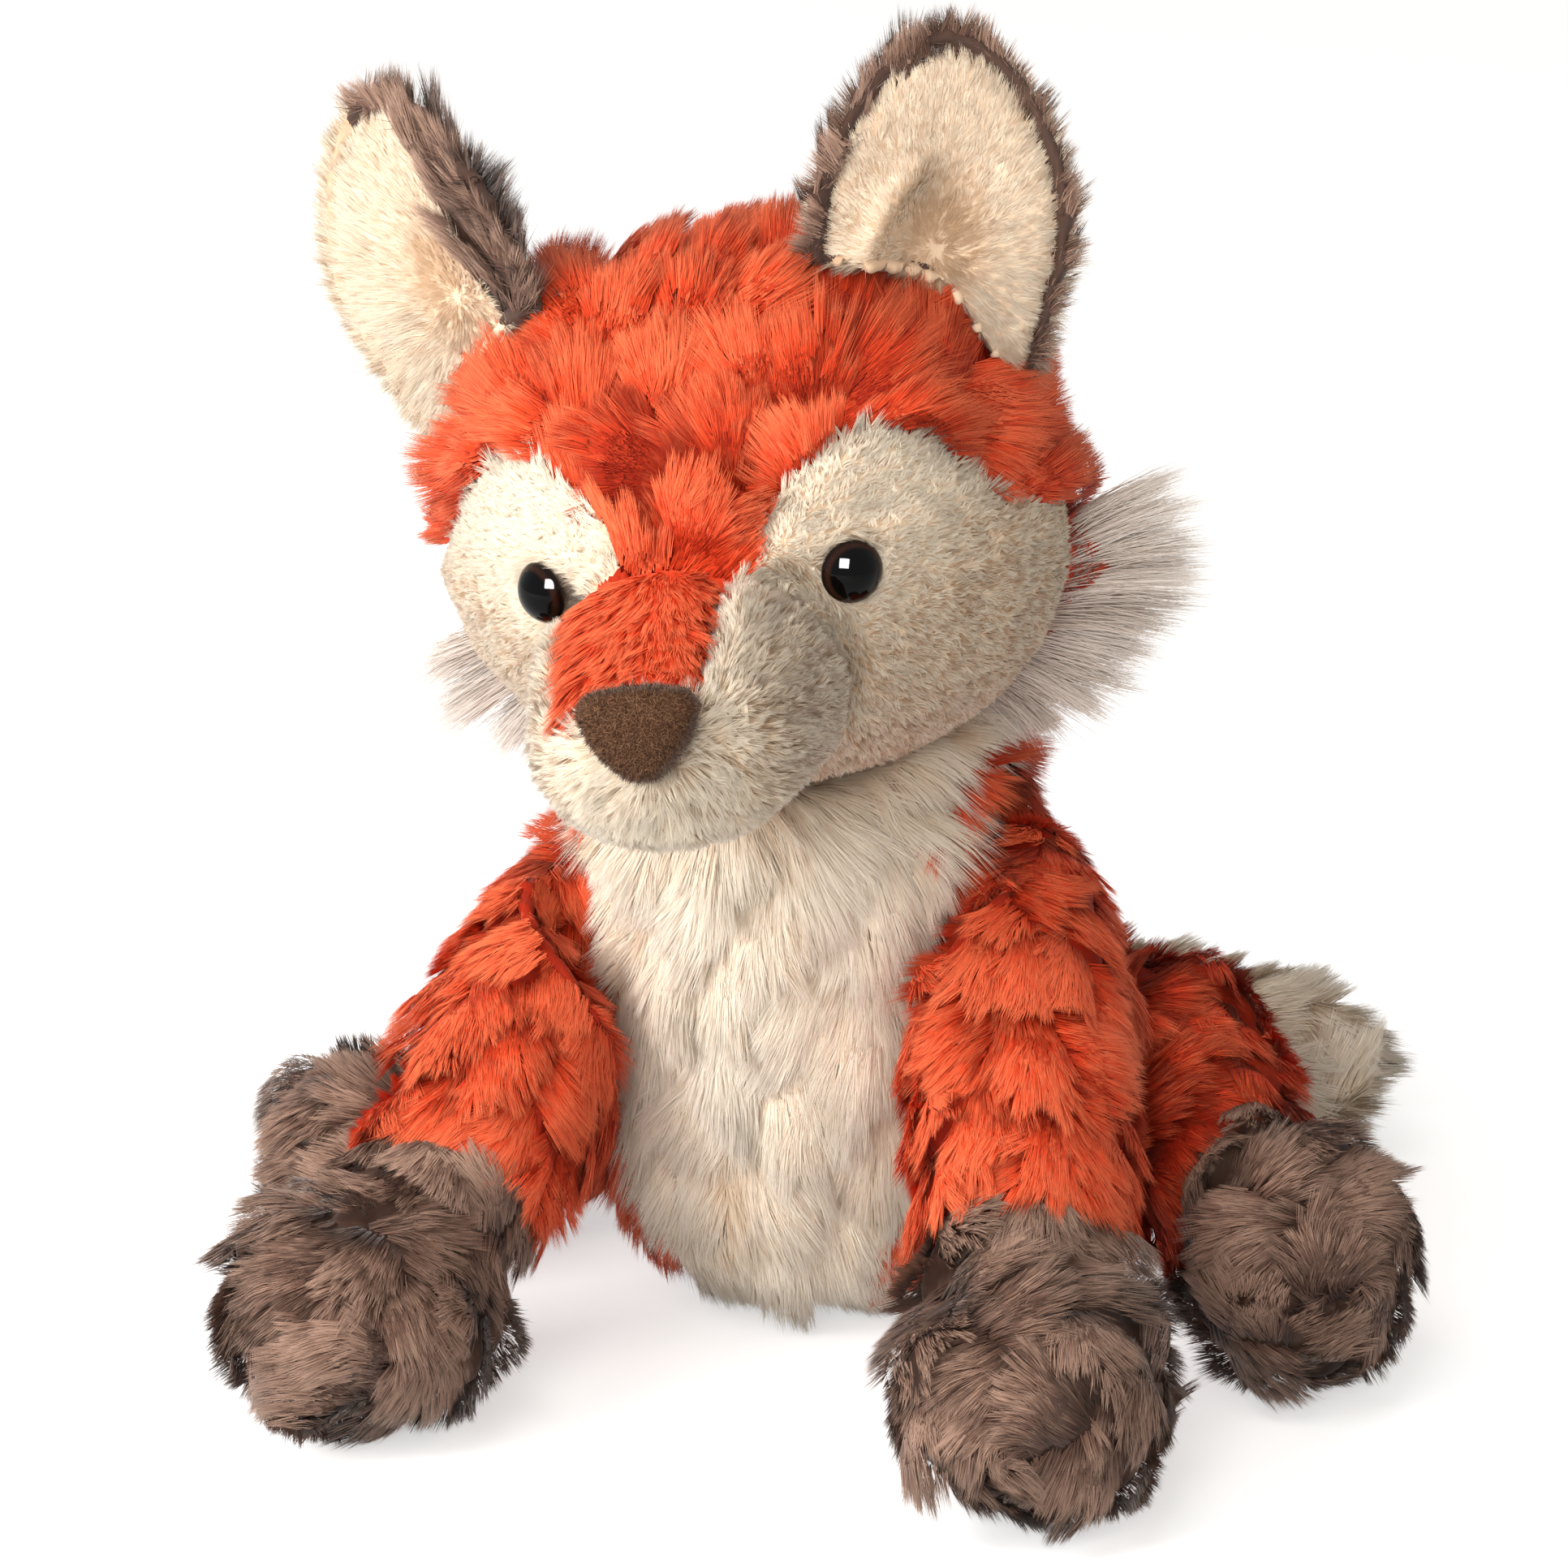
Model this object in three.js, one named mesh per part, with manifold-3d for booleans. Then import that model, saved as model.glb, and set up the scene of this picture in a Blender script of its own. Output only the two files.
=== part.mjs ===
// A seated plush fox in millimetres: +Z is up, the fox faces -Y, and its own left side is +X.
// The origin is the middle of the flat seat under the body.
import * as THREE from 'three';
import { mergeVertices } from 'three/addons/utils/BufferGeometryUtils.js';
import Module from 'manifold-3d';

const wasm = await Module();
wasm.setup();

// Clearances: between sewn pieces, at a seam that swings, and the overrun of a cutting solid
const seamGap = 0.3;
const swingGap = 0.6;
const overrun = 400;

// Cloth thickness with its pile: long pile on coat and paws, short pile on face and ear linings
const longPile = 7;
const shortPile = 4;
const seatCloth = 4;

// Body: a pear that leans a little forward, with a flat seat
const bodyHalfWidth = 50;
const bodyHalfDepth = 48;
const bodyWidestHeight = 33;
const bodySeatDrop = 38;
const neckHeight = 104;
const neckForward = 8;
const neckHalfWidth = 51;
const neckHalfDepth = 45;
const bodyTaperShares = [0, 0.12, 0.45, 1];
const bodyHeightShares = [0, 0.3, 0.65, 1];
const bodyLeanShares = [0.25, 0.35, 0.65, 1];
const neckCapDepth = 34;

// Belly panel: the pale front of the body, as wide as the chest and narrower at the seat
const bellyHalfWidth = 37;
const bellySeatHalfWidth = 24;
const bellySeatHeight = 18;
const bellyChestHeight = 52;
const bellySideDepth = 10;

// Seat pouch of pellets
const pouchHalfWidth = 34;
const pouchHalfDepth = 29;
const pouchHeight = 26;

// Head: an egg with a fuller crown, turned and tilted on the neck
const skullHalfWidth = 65;
const skullFaceDepth = 54;
const skullBackDepth = 56;
const skullCrownHeight = 60;
const skullChinHeight = 54;
const headForward = 28;
const headAside = 4;
const headHeight = 171.5;
const headYaw = 4.4;
const headPitch = 12;
const headRoll = -8.8;
const neckCut = 46;

// Snout: it leaves the face low and rises to the nose
const snoutRootY = 34;
const snoutMiddleY = 58;
const snoutTipY = 79;
const snoutRootAside = 3;
const snoutMiddleAside = 2;
const snoutRootDrop = 8;
const snoutMiddleDrop = 6;
const snoutTipDrop = 5;
const snoutRootWidth = 27;
const snoutMiddleWidth = 28;
const snoutTipWidth = 24.5;
const snoutRootHeight = 30;
const snoutMiddleHeight = 23.5;
const snoutTipHeight = 17.4;
const snoutRootCapDepth = 13;
const snoutTipCapDepth = 16;

// Nose bridge: an orange strip along the top of the snout
const bridgeRootHalfWidth = 18;
const bridgeTipHalfWidth = 14.5;
const bridgeRootAside = 12;
const bridgeTipAside = 5;
const bridgeFrontY = 86;
const bridgeUnderside = 4;

// Nose pad
const noseHalfWidth = 16;
const noseHeight = 22;
const noseThickness = 3.4;
const noseRounding = 2;
const noseY = 92.5;
const noseZ = 3.2;
const noseTilt = 22;
const noseCornerShare = 0.42;
const noseRoundingSteps = 3;

// Face patch outline, from the nose bridge over the eye to the cheek
const patchWidthShares = [0.2, 0.24, 0.35, 0.5, 0.62, 0.74, 0.87, 1.02, 1.3];
const patchHeightShares = [0.2, 0.36, 0.48, 0.56, 0.53, 0.41, 0.2, 0, -0.08];
const patchBackY = 4;

// Cheek tufts: fans of long pile sewn into the seam behind the cheek
const tuftReach = 24;
const tuftValley = 8.4;
const tuftRootDepth = 6;
const tuftThickness = 7;
const tuftTipThicknessShare = 0.3;
const tuftSweepBackLeft = 9;
const tuftSweepBackRight = -7;
const tuftTopAngleLeft = -8;
const tuftTopAngleRight = -22;
const tuftBottomAngleLeft = -62;
const tuftBottomAngleRight = -72;
const tuftReachShares = [0.7, 1, 0.95, 0.85, 0.95, 0.6];
const tuftBackY = 3;

// Safety eyes: a dome on a barbed shank, held by a toothed washer behind the cloth
const eyeRadius = 6;
const eyeDomeHeight = 3.8;
const eyeRimHeight = 1;
const shankRadius = 1.6;
const barbHeight = 0.4;
const barbPitch = 2;
const barbCount = 3;
const barbShare = 0.5;
const shankTipRadius = 0.8;
const eyeSink = 1;
const eyeAcross = 31;
const eyeUp = 10.5;
const eyeTurn = 35;
const eyeLift = 8;
const washerRadius = 5.5;
const washerThickness = 0.8;
const washerToothCount = 8;
const washerToothLength = 1.6;
const washerToothShare = 0.55;

// Ears: a brown back and a pale lining, cupped forward, hinged by their cloth at the crown
const earLength = 57;
const earHalfWidth = 27;
const earThickness = 9;
const earCup = 8;
const earRoot = 10;
const earRootRounding = 2.2;
const earTipPower = 5;
const earWidthShares = [0.6, 0.8, 0.94, 1, 1, 0.97, 0.9, 0.81, 0.72];
const earAcross = 43;
const earAside = 2.5;
const earBehind = 2;
const earUp = 38;
const earTurnLeft = 22;
const earTurnRight = 26;
const earSpreadLeft = 16;
const earSpreadRight = 25;
const earLean = 6;
const earRim = 5.5;
const liningThickness = 4;
const liningProud = 1.3;
const earFlap = 12;

// Arms: from the shoulder forward and down to a paw on the floor
const shoulderAcross = 45;
const shoulderForward = 14;
const shoulderHeight = 86;
const shoulderTilt = 6;
const shoulderRadius = 21;
const armReach = 84;
const armThickness = 24;
const armReachShares = [0, 0.24, 0.52, 0.78];
const armDropShares = [0, 0.16, 0.46, 0.8];
const armWidthShares = [1, 1.03, 1.03, 0.94];
const armBowShares = [0, 0.6, 1, 0.5];
const armBowLeft = 1;
const armBowRight = 7;
const armSplayLeft = 17;
const armSplayRight = 13;
const pawHalfWidth = 31;
const pawHalfLength = 32;
const pawHalfHeight = 27;
const pawCentreHeight = 26;
const cuffShare = 0.72;
const armRaise = 35;
const swingStep = 12;

// Legs: a round haunch beside the seat, and a foot on the floor well out to the side
const hipAcross = 44;
const hipBack = 20;
const hipHeight = 36;
const hipRadius = 26;
const legReachLeft = 80;
const legReachRight = 64;
const legThicknessLeft = 26.5;
const legThicknessRight = 24;
const haunchRiseLeft = 20;
const haunchRiseRight = -5;
const legReachShares = [0, 0.3, 0.62, 0.88];
const legTurnShares = [0, 0.06, 0, 0];
const legRiseShares = [0, 1, 0.45, 0];
const legFallShares = [0, 0.2, 0.6, 0.9];
const legWidthShares = [0.945, 1.02, 0.9, 0.8];
const legSplayLeft = 38;
const legSplayRight = 41;
const footHalfLength = 24;
const footHalfWidth = 28;
const footHalfHeightLeft = 30;
const footHalfHeightRight = 24;
const footSink = 1;
const legSpread = 20;
const ankleShare = 0.8;

// Tail: it leaves the back, lies on the floor and curls to the fox's left
const tailRootAcross = 6;
const tailRootBack = 48;
const tailRootHeight = 28;
const tailRootRadius = 14;
const tailReach = 72;
const tailSpread = 32;
const tailThickness = 25;
const tailLieHeight = 24;
const tailTipDepth = 26;
const tailReachShares = [0, 0.13, 0.5, 1];
const tailSpreadShares = [0, 0.52, 0.88, 0.95];
const tailLieShares = [0, 0.4, 1, 1];
const tailWidthShares = [0.56, 0.78, 1, 0.86];
const tailSplitShare = 0.52;

// Facets round a form, along it and on its round ends
const aroundBody = 18;
const aroundLimb = 12;
const aroundCore = 8;
const alongBody = 6;
const alongLimb = 5;
const capSteps = 3;
const skullAround = 24;
const coreAround = 12;
const leafAround = 14;
const leafAlong = 8;
const eyeFacets = 12;

// Finishes
function cloth(name, colour) {
  const material = new THREE.MeshStandardMaterial({ color: colour, roughness: 0.95, metalness: 0 });
  material.name = name;
  return material;
}
const orangeFur = cloth('orange_fur', 0xe0592f);
const creamFur = cloth('cream_fur', 0xf1e5d2);
const creamVelour = cloth('cream_velour', 0xf0e3cd);
const greyVelour = cloth('grey_velour', 0xdcd8d2);
const brownFur = cloth('brown_fur', 0x75645d);
const whiteFur = cloth('white_fur', 0xe2dcda);
const noseFelt = cloth('nose_felt', 0x4b3c34);
const stuffing = cloth('polyester_stuffing', 0xf6f6f4);
const pellets = cloth('pellet_bag', 0xe9e4da);
const blackGloss = new THREE.MeshStandardMaterial({ color: 0x15100e, roughness: 0.08, metalness: 0 });
const whitePlastic = new THREE.MeshStandardMaterial({ color: 0xe8e8e4, roughness: 0.5, metalness: 0 });
blackGloss.name = 'eye_plastic';
whitePlastic.name = 'washer_plastic';

// Solids from points and faces, turned so that their faces point out
function solidOf(points, faces) {
  let volume = 0;
  for (let i = 0; i < faces.length; i += 3) {
    const a = points[faces[i]];
    const b = points[faces[i + 1]];
    const c = points[faces[i + 2]];
    volume += a.dot(new THREE.Vector3().crossVectors(b, c));
  }
  const turned = volume < 0 ? faces.slice().reverse() : faces;
  return new wasm.Manifold(new wasm.Mesh({
    numProp: 3,
    vertProperties: new Float32Array(points.flatMap((point) => point.toArray())),
    triVerts: new Uint32Array(turned),
  }));
}

function solidOfGeometry(geometry) {
  const bare = geometry.index ? geometry.toNonIndexed() : geometry.clone();
  bare.deleteAttribute('normal');
  bare.deleteAttribute('uv');
  const merged = mergeVertices(bare);
  const places = merged.attributes.position;
  const points = [];
  for (let i = 0; i < places.count; i += 1) {
    points.push(new THREE.Vector3().fromBufferAttribute(places, i));
  }
  const faces = [];
  for (let i = 0; i < merged.index.count; i += 3) {
    const corners = [merged.index.getX(i), merged.index.getX(i + 1), merged.index.getX(i + 2)];
    if (new Set(corners).size === 3) {
      faces.push(...corners);
    }
  }
  return solidOf(points, faces);
}

function moved(solid, matrix) {
  return solid.transform(matrix.elements);
}

function placing(position, yaw = 0, pitch = 0, roll = 0) {
  const turn = new THREE.Euler(
    THREE.MathUtils.degToRad(pitch), THREE.MathUtils.degToRad(roll), THREE.MathUtils.degToRad(yaw), 'ZXY');
  const still = new THREE.Vector3(1, 1, 1);
  return new THREE.Matrix4().compose(position, new THREE.Quaternion().setFromEuler(turn), still);
}

// A block with one face at the origin, reaching far along a direction: it cuts a form by a plane
function halfSpace(point, direction) {
  const block = new THREE.BoxGeometry(overrun, overrun, overrun);
  block.translate(0, 0, overrun / 2);
  const upward = new THREE.Vector3(0, 0, 1);
  block.applyQuaternion(new THREE.Quaternion().setFromUnitVectors(upward, direction.clone().normalize()));
  block.translate(point.x, point.y, point.z);
  return solidOfGeometry(block);
}

// A closed skin over rings of points, with a single point at each end
function ringSkin(first, rings, last) {
  const around = rings[0].length;
  const points = [first, ...rings.flat(), last];
  const faces = [];
  for (let j = 0; j < around; j += 1) {
    const next = (j + 1) % around;
    faces.push(0, 1 + next, 1 + j);
    for (let i = 0; i + 1 < rings.length; i += 1) {
      const low = 1 + i * around;
      const high = low + around;
      faces.push(low + j, low + next, high + next);
      faces.push(low + j, high + next, high + j);
    }
    const top = 1 + (rings.length - 1) * around;
    faces.push(top + j, top + next, points.length - 1);
  }
  return solidOf(points, faces);
}

// A stuffed form: oval sections swell and taper along a smooth spine between two round ends.
// Each knot has a place, a width along the side direction and a height across it.
function stuffedForm(knots, side, startDepth, endDepth, around, along, inset = 0) {
  const spine = new THREE.CatmullRomCurve3(knots.map((knot) => knot.place));
  const sizes = new THREE.CatmullRomCurve3(
    knots.map((knot) => new THREE.Vector3(knot.width - inset, knot.height - inset, 0)));
  const rings = [];
  const section = (place, tangent, width, height) => {
    const wide = side.clone().addScaledVector(tangent, -side.dot(tangent)).normalize();
    const high = new THREE.Vector3().crossVectors(tangent, wide);
    const ring = [];
    for (let j = 0; j < around; j += 1) {
      const angle = (j / around) * 2 * Math.PI;
      const point = place.clone().addScaledVector(wide, width * Math.cos(angle));
      ring.push(point.addScaledVector(high, height * Math.sin(angle)));
    }
    return ring;
  };
  const cap = (share, depth, sign, step) => {
    const lift = (step / (capSteps + 1)) * (Math.PI / 2);
    const tangent = spine.getTangent(share);
    const size = sizes.getPoint(share);
    const place = spine.getPoint(share).addScaledVector(tangent, sign * (depth - inset) * Math.sin(lift));
    rings.push(section(place, tangent, size.x * Math.cos(lift), size.y * Math.cos(lift)));
  };
  for (let step = capSteps; step > 0; step -= 1) {
    cap(0, startDepth, -1, step);
  }
  for (let i = 0; i <= along; i += 1) {
    const size = sizes.getPoint(i / along);
    rings.push(section(spine.getPoint(i / along), spine.getTangent(i / along), size.x, size.y));
  }
  for (let step = 1; step <= capSteps; step += 1) {
    cap(1, endDepth, 1, step);
  }
  const first = spine.getPoint(0).addScaledVector(spine.getTangent(0), -(startDepth - inset));
  const last = spine.getPoint(1).addScaledVector(spine.getTangent(1), endDepth - inset);
  return ringSkin(first, rings, last);
}

function ball(place, halfWidth, halfLength, halfHeight, around) {
  const sphere = new THREE.SphereGeometry(1, around, Math.ceil(around / 2));
  sphere.rotateX(Math.PI / 2);
  sphere.scale(halfWidth, halfLength, halfHeight);
  sphere.translate(place.x, place.y, place.z);
  return solidOfGeometry(sphere);
}

// A faceted ball that holds a true ball of a radius: it is larger by the sag of its facets both ways
function ballRound(place, radius, around) {
  const reach = radius / Math.cos(Math.PI / around) ** 2;
  return ball(place, reach, reach, reach, around);
}

// A flat outline in X and Z, extruded along Y from one depth to another
function curtain(outline, nearY, farY) {
  const shape = new THREE.Shape(outline);
  const slab = new THREE.ExtrudeGeometry(shape, { depth: farY - nearY, bevelEnabled: false });
  slab.rotateX(Math.PI / 2);
  slab.translate(0, farY, 0);
  return solidOfGeometry(slab);
}

// An outline moved outward by a gap
function grownOutline(outline, gap) {
  const shape = new THREE.Shape(outline);
  const sign = THREE.ShapeUtils.isClockWise(shape.getPoints()) ? -1 : 1;
  return outline.map((point, i) => {
    const before = outline[(i + outline.length - 1) % outline.length];
    const after = outline[(i + 1) % outline.length];
    const normal = new THREE.Vector2(after.y - before.y, before.x - after.x).normalize();
    return point.clone().addScaledVector(normal, sign * gap);
  });
}

// The moving solid with everything cut away that the fixed solid would meet at the given angles.
// The fixed solid is given in the frame of the pivot; rest is the moving solid's place there.
function clearOnSwing(moving, fixed, rest, axis, angles) {
  let clear = moving;
  for (const angle of angles) {
    const turn = new THREE.Matrix4().makeRotationAxis(axis, THREE.MathUtils.degToRad(angle));
    clear = clear.subtract(moved(fixed, turn.multiply(rest).invert()));
  }
  return clear;
}

// Angles from rest to a limit, in steps that leave only slivers between them
function stepsTo(limit) {
  const count = Math.ceil(Math.abs(limit) / swingStep);
  return Array.from({ length: count + 1 }, (unused, i) => (limit * i) / count);
}

function biggestPiece(solid) {
  return solid.decompose().sort((a, b) => b.volume() - a.volume())[0];
}

function meshOf(name, solid, material) {
  const mesh = biggestPiece(solid).getMesh();
  const geometry = new THREE.BufferGeometry();
  geometry.setAttribute('position', new THREE.BufferAttribute(new Float32Array(mesh.vertProperties), 3));
  geometry.setIndex(new THREE.BufferAttribute(new Uint32Array(mesh.triVerts), 1));
  const flat = geometry.toNonIndexed();
  flat.computeVertexNormals();
  const node = new THREE.Mesh(flat, material);
  node.name = name;
  return node;
}

const up = new THREE.Vector3(0, 0, 1);
const sideways = new THREE.Vector3(1, 0, 0);
const forward = new THREE.Vector3(0, -1, 0);
const origin = new THREE.Vector3(0, 0, 0);
const aboveFloor = halfSpace(origin, up);
const headCentre = new THREE.Vector3(-headAside, -headForward, headHeight);
const headPlace = placing(headCentre, headYaw, headPitch, headRoll);

// Body form, cut by the floor and by the plane of the neck seam, which is square to the head
function bodyKnots() {
  return bodyHeightShares.map((share, i) => ({
    place: new THREE.Vector3(0, -neckForward * bodyLeanShares[i],
      bodyWidestHeight + (neckHeight - bodyWidestHeight) * share),
    width: THREE.MathUtils.lerp(bodyHalfWidth, neckHalfWidth, bodyTaperShares[i]),
    height: THREE.MathUtils.lerp(bodyHalfDepth, neckHalfDepth, bodyTaperShares[i]),
  }));
}

function bodyForm(inset, around = aroundBody) {
  return stuffedForm(bodyKnots(), sideways, bodySeatDrop, neckCapDepth, around, alongBody, inset);
}

function underNeck(gap) {
  const seam = new THREE.Vector3(0, 0, -neckCut - gap);
  return moved(halfSpace(seam, up.clone().negate()), headPlace);
}

function shoulderPoint(side) {
  return new THREE.Vector3(side * shoulderAcross, -shoulderForward, shoulderHeight + side * shoulderTilt);
}

function hipPoint(side) {
  return new THREE.Vector3(side * hipAcross, hipBack, hipHeight);
}

const tailRoot = new THREE.Vector3(tailRootAcross, tailRootBack, tailRootHeight);

// The sockets in the body for the shoulders, the hips and the tail
function sockets(gap, around = aroundLimb) {
  let all = ballRound(tailRoot, tailRootRadius + gap, around);
  for (const side of [-1, 1]) {
    all = all
      .add(ballRound(shoulderPoint(side), shoulderRadius + gap, around))
      .add(ballRound(hipPoint(side), hipRadius + gap, around));
  }
  return all;
}

function bodyParts() {
  const outer = bodyForm(0).intersect(aboveFloor).intersect(underNeck(swingGap)).subtract(sockets(swingGap));
  const aboveSeat = halfSpace(new THREE.Vector3(0, 0, seatCloth), up);
  const aboveSeatCore = halfSpace(new THREE.Vector3(0, 0, seatCloth + seamGap), up);
  const skin = outer.subtract(bodyForm(longPile, aroundCore).intersect(aboveSeat));
  const panelOutline = [
    new THREE.Vector2(-bellySeatHalfWidth, -overrun),
    new THREE.Vector2(bellySeatHalfWidth, -overrun),
    new THREE.Vector2(bellySeatHalfWidth, bellySeatHeight),
    new THREE.Vector2(bellyHalfWidth, bellyChestHeight),
    new THREE.Vector2(bellyHalfWidth, overrun),
    new THREE.Vector2(-bellyHalfWidth, overrun),
    new THREE.Vector2(-bellyHalfWidth, bellyChestHeight),
    new THREE.Vector2(-bellySeatHalfWidth, bellySeatHeight),
  ];
  const front = curtain(panelOutline, -overrun, -bellySideDepth);
  const frontGrown = curtain(grownOutline(panelOutline, seamGap), -overrun, -bellySideDepth + seamGap);
  const core = bodyForm(longPile + seamGap, aroundCore)
    .intersect(aboveSeatCore)
    .intersect(underNeck(swingGap))
    .subtract(sockets(swingGap + seamGap, aroundCore));
  const pouchPlace = new THREE.Vector3(0, 0, seatCloth);
  const pouch = (gap) => ball(
    pouchPlace, pouchHalfWidth + gap, pouchHalfDepth + gap, pouchHeight + gap, aroundCore);
  const group = new THREE.Group();
  group.add(meshOf('torso_coat', skin.subtract(frontGrown), orangeFur));
  group.add(meshOf('belly_panel', skin.intersect(front), creamFur));
  group.add(meshOf('torso_stuffing', core.subtract(pouch(seamGap)), stuffing));
  group.add(meshOf('pellet_pouch', core.intersect(pouch(0)), pellets));
  return group;
}

// Head forms in the head's own frame
function skullForm(inset, around = skullAround) {
  const sphere = new THREE.SphereGeometry(1, around, around / 2);
  sphere.rotateX(Math.PI / 2);
  const places = sphere.attributes.position;
  for (let i = 0; i < places.count; i += 1) {
    const x = places.getX(i);
    const y = places.getY(i);
    const z = places.getZ(i);
    const depth = y < 0 ? skullFaceDepth : skullBackDepth;
    const height = z < 0 ? skullChinHeight : skullCrownHeight;
    places.setXYZ(i, x * (skullHalfWidth - inset), y * (depth - inset), z * (height - inset));
  }
  return solidOfGeometry(sphere);
}

function snoutForm(inset, around = aroundLimb) {
  const knot = (aside, y, drop, width, height) =>
    ({ place: new THREE.Vector3(-aside, -y, -drop), width, height });
  const knots = [
    knot(snoutRootAside, 0, snoutRootDrop, snoutRootWidth, snoutRootHeight),
    knot(snoutRootAside, snoutRootY, snoutRootDrop, snoutRootWidth, snoutRootHeight),
    knot(snoutMiddleAside, snoutMiddleY, snoutMiddleDrop, snoutMiddleWidth, snoutMiddleHeight),
    knot(0, snoutTipY, snoutTipDrop, snoutTipWidth, snoutTipHeight),
  ];
  return stuffedForm(knots, sideways, snoutRootCapDepth, snoutTipCapDepth, around, alongLimb, inset);
}

function patchOutline(side) {
  const curve = new THREE.SplineCurve(patchWidthShares.map((share, i) =>
    new THREE.Vector2(side * skullHalfWidth * share, skullCrownHeight * patchHeightShares[i])));
  return [
    new THREE.Vector2(side * (seamGap / 2), -overrun),
    new THREE.Vector2(side * (seamGap / 2), 0),
    ...curve.getPoints(patchWidthShares.length * 2),
    new THREE.Vector2(side * overrun, 0),
    new THREE.Vector2(side * overrun, -overrun),
  ];
}

// Nose pad outline: a triangle with rounded corners, point down
function noseForm(gap) {
  const corners = [
    new THREE.Vector2(-noseHalfWidth, noseHeight / 2),
    new THREE.Vector2(noseHalfWidth, noseHeight / 2),
    new THREE.Vector2(0, -noseHeight / 2),
  ];
  const outline = corners.flatMap((corner, i) => {
    const from = corner.clone().lerp(corners[(i + 2) % 3], noseCornerShare);
    const to = corner.clone().lerp(corners[(i + 1) % 3], noseCornerShare);
    return new THREE.QuadraticBezierCurve(from, corner, to).getPoints(capSteps);
  });
  const shape = new THREE.Shape(outline);
  const pad = new THREE.ExtrudeGeometry(shape, {
    depth: noseThickness,
    bevelThickness: noseRounding + gap,
    bevelSize: noseRounding + gap,
    bevelOffset: -noseRounding,
    bevelSegments: noseRoundingSteps,
  });
  pad.rotateX(Math.PI / 2);
  pad.rotateX(THREE.MathUtils.degToRad(-noseTilt));
  pad.translate(0, -noseY, noseZ);
  return solidOfGeometry(pad);
}

// A turned profile about an axis that points out of the face
function turned(profile) {
  const lathe = new THREE.LatheGeometry(profile, eyeFacets);
  return solidOfGeometry(lathe.rotateX(Math.PI / 2));
}

function eyeForm() {
  const profile = [new THREE.Vector2(0, eyeDomeHeight)];
  for (let i = 1; i <= capSteps + 1; i += 1) {
    const angle = (i / (capSteps + 1)) * (Math.PI / 2);
    profile.push(new THREE.Vector2(eyeRadius * Math.sin(angle), eyeDomeHeight * Math.cos(angle)));
  }
  profile.push(new THREE.Vector2(eyeRadius, -eyeRimHeight));
  const shankStart = -eyeRimHeight - shortPile;
  profile.push(new THREE.Vector2(shankRadius, -eyeRimHeight));
  for (let i = 0; i < barbCount; i += 1) {
    const top = shankStart - i * barbPitch;
    profile.push(new THREE.Vector2(shankRadius, top));
    profile.push(new THREE.Vector2(shankRadius + barbHeight, top));
    profile.push(new THREE.Vector2(shankRadius, top - barbPitch * barbShare));
  }
  profile.push(new THREE.Vector2(shankTipRadius, shankStart - barbCount * barbPitch));
  profile.push(new THREE.Vector2(0, shankStart - barbCount * barbPitch));
  return turned(profile);
}

function washerForm() {
  const shape = new THREE.Shape();
  shape.absarc(0, 0, washerRadius, 0, 2 * Math.PI, false);
  const hole = new THREE.Path();
  const inner = shankRadius + seamGap / 2;
  const pitch = (2 * Math.PI) / washerToothCount;
  for (let i = 0; i < washerToothCount; i += 1) {
    const half = (pitch * washerToothShare) / 2;
    for (const [radius, angle] of [[inner, -half], [inner, half],
      [inner + washerToothLength, half], [inner + washerToothLength, pitch - half]]) {
      const x = radius * Math.cos(i * pitch + angle);
      const y = radius * Math.sin(i * pitch + angle);
      if (i === 0 && angle === -half) {
        hole.moveTo(x, y);
      } else {
        hole.lineTo(x, y);
      }
    }
  }
  hole.closePath();
  shape.holes.push(hole);
  const options = { depth: washerThickness, bevelEnabled: false, curveSegments: eyeFacets / 2 };
  const disc = new THREE.ExtrudeGeometry(shape, options);
  const depth = eyeRimHeight + shortPile + barbPitch * (1 + (1 + barbShare) / 2);
  return solidOfGeometry(disc.translate(0, 0, -depth - washerThickness / 2));
}

function rod(radius, from, to) {
  const cylinder = new THREE.CylinderGeometry(radius, radius, to - from, eyeFacets);
  return solidOfGeometry(cylinder.rotateX(Math.PI / 2).translate(0, 0, (from + to) / 2));
}

// Where an eye sits: on the skull, its axis turned outward and up
function eyePlace(side) {
  const turn = THREE.MathUtils.degToRad(eyeTurn) * side;
  const lift = THREE.MathUtils.degToRad(eyeLift);
  const out = new THREE.Vector3(
    Math.sin(turn) * Math.cos(lift), -Math.cos(turn) * Math.cos(lift), Math.sin(lift));
  const across = eyeAcross / skullHalfWidth;
  const high = eyeUp / skullCrownHeight;
  const place = new THREE.Vector3(
    side * eyeAcross, -skullFaceDepth * Math.sqrt(1 - across * across - high * high), eyeUp);
  const turnToOut = new THREE.Quaternion().setFromUnitVectors(up, out);
  place.addScaledVector(out, -eyeSink);
  return new THREE.Matrix4().compose(place, turnToOut, new THREE.Vector3(1, 1, 1));
}

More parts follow.
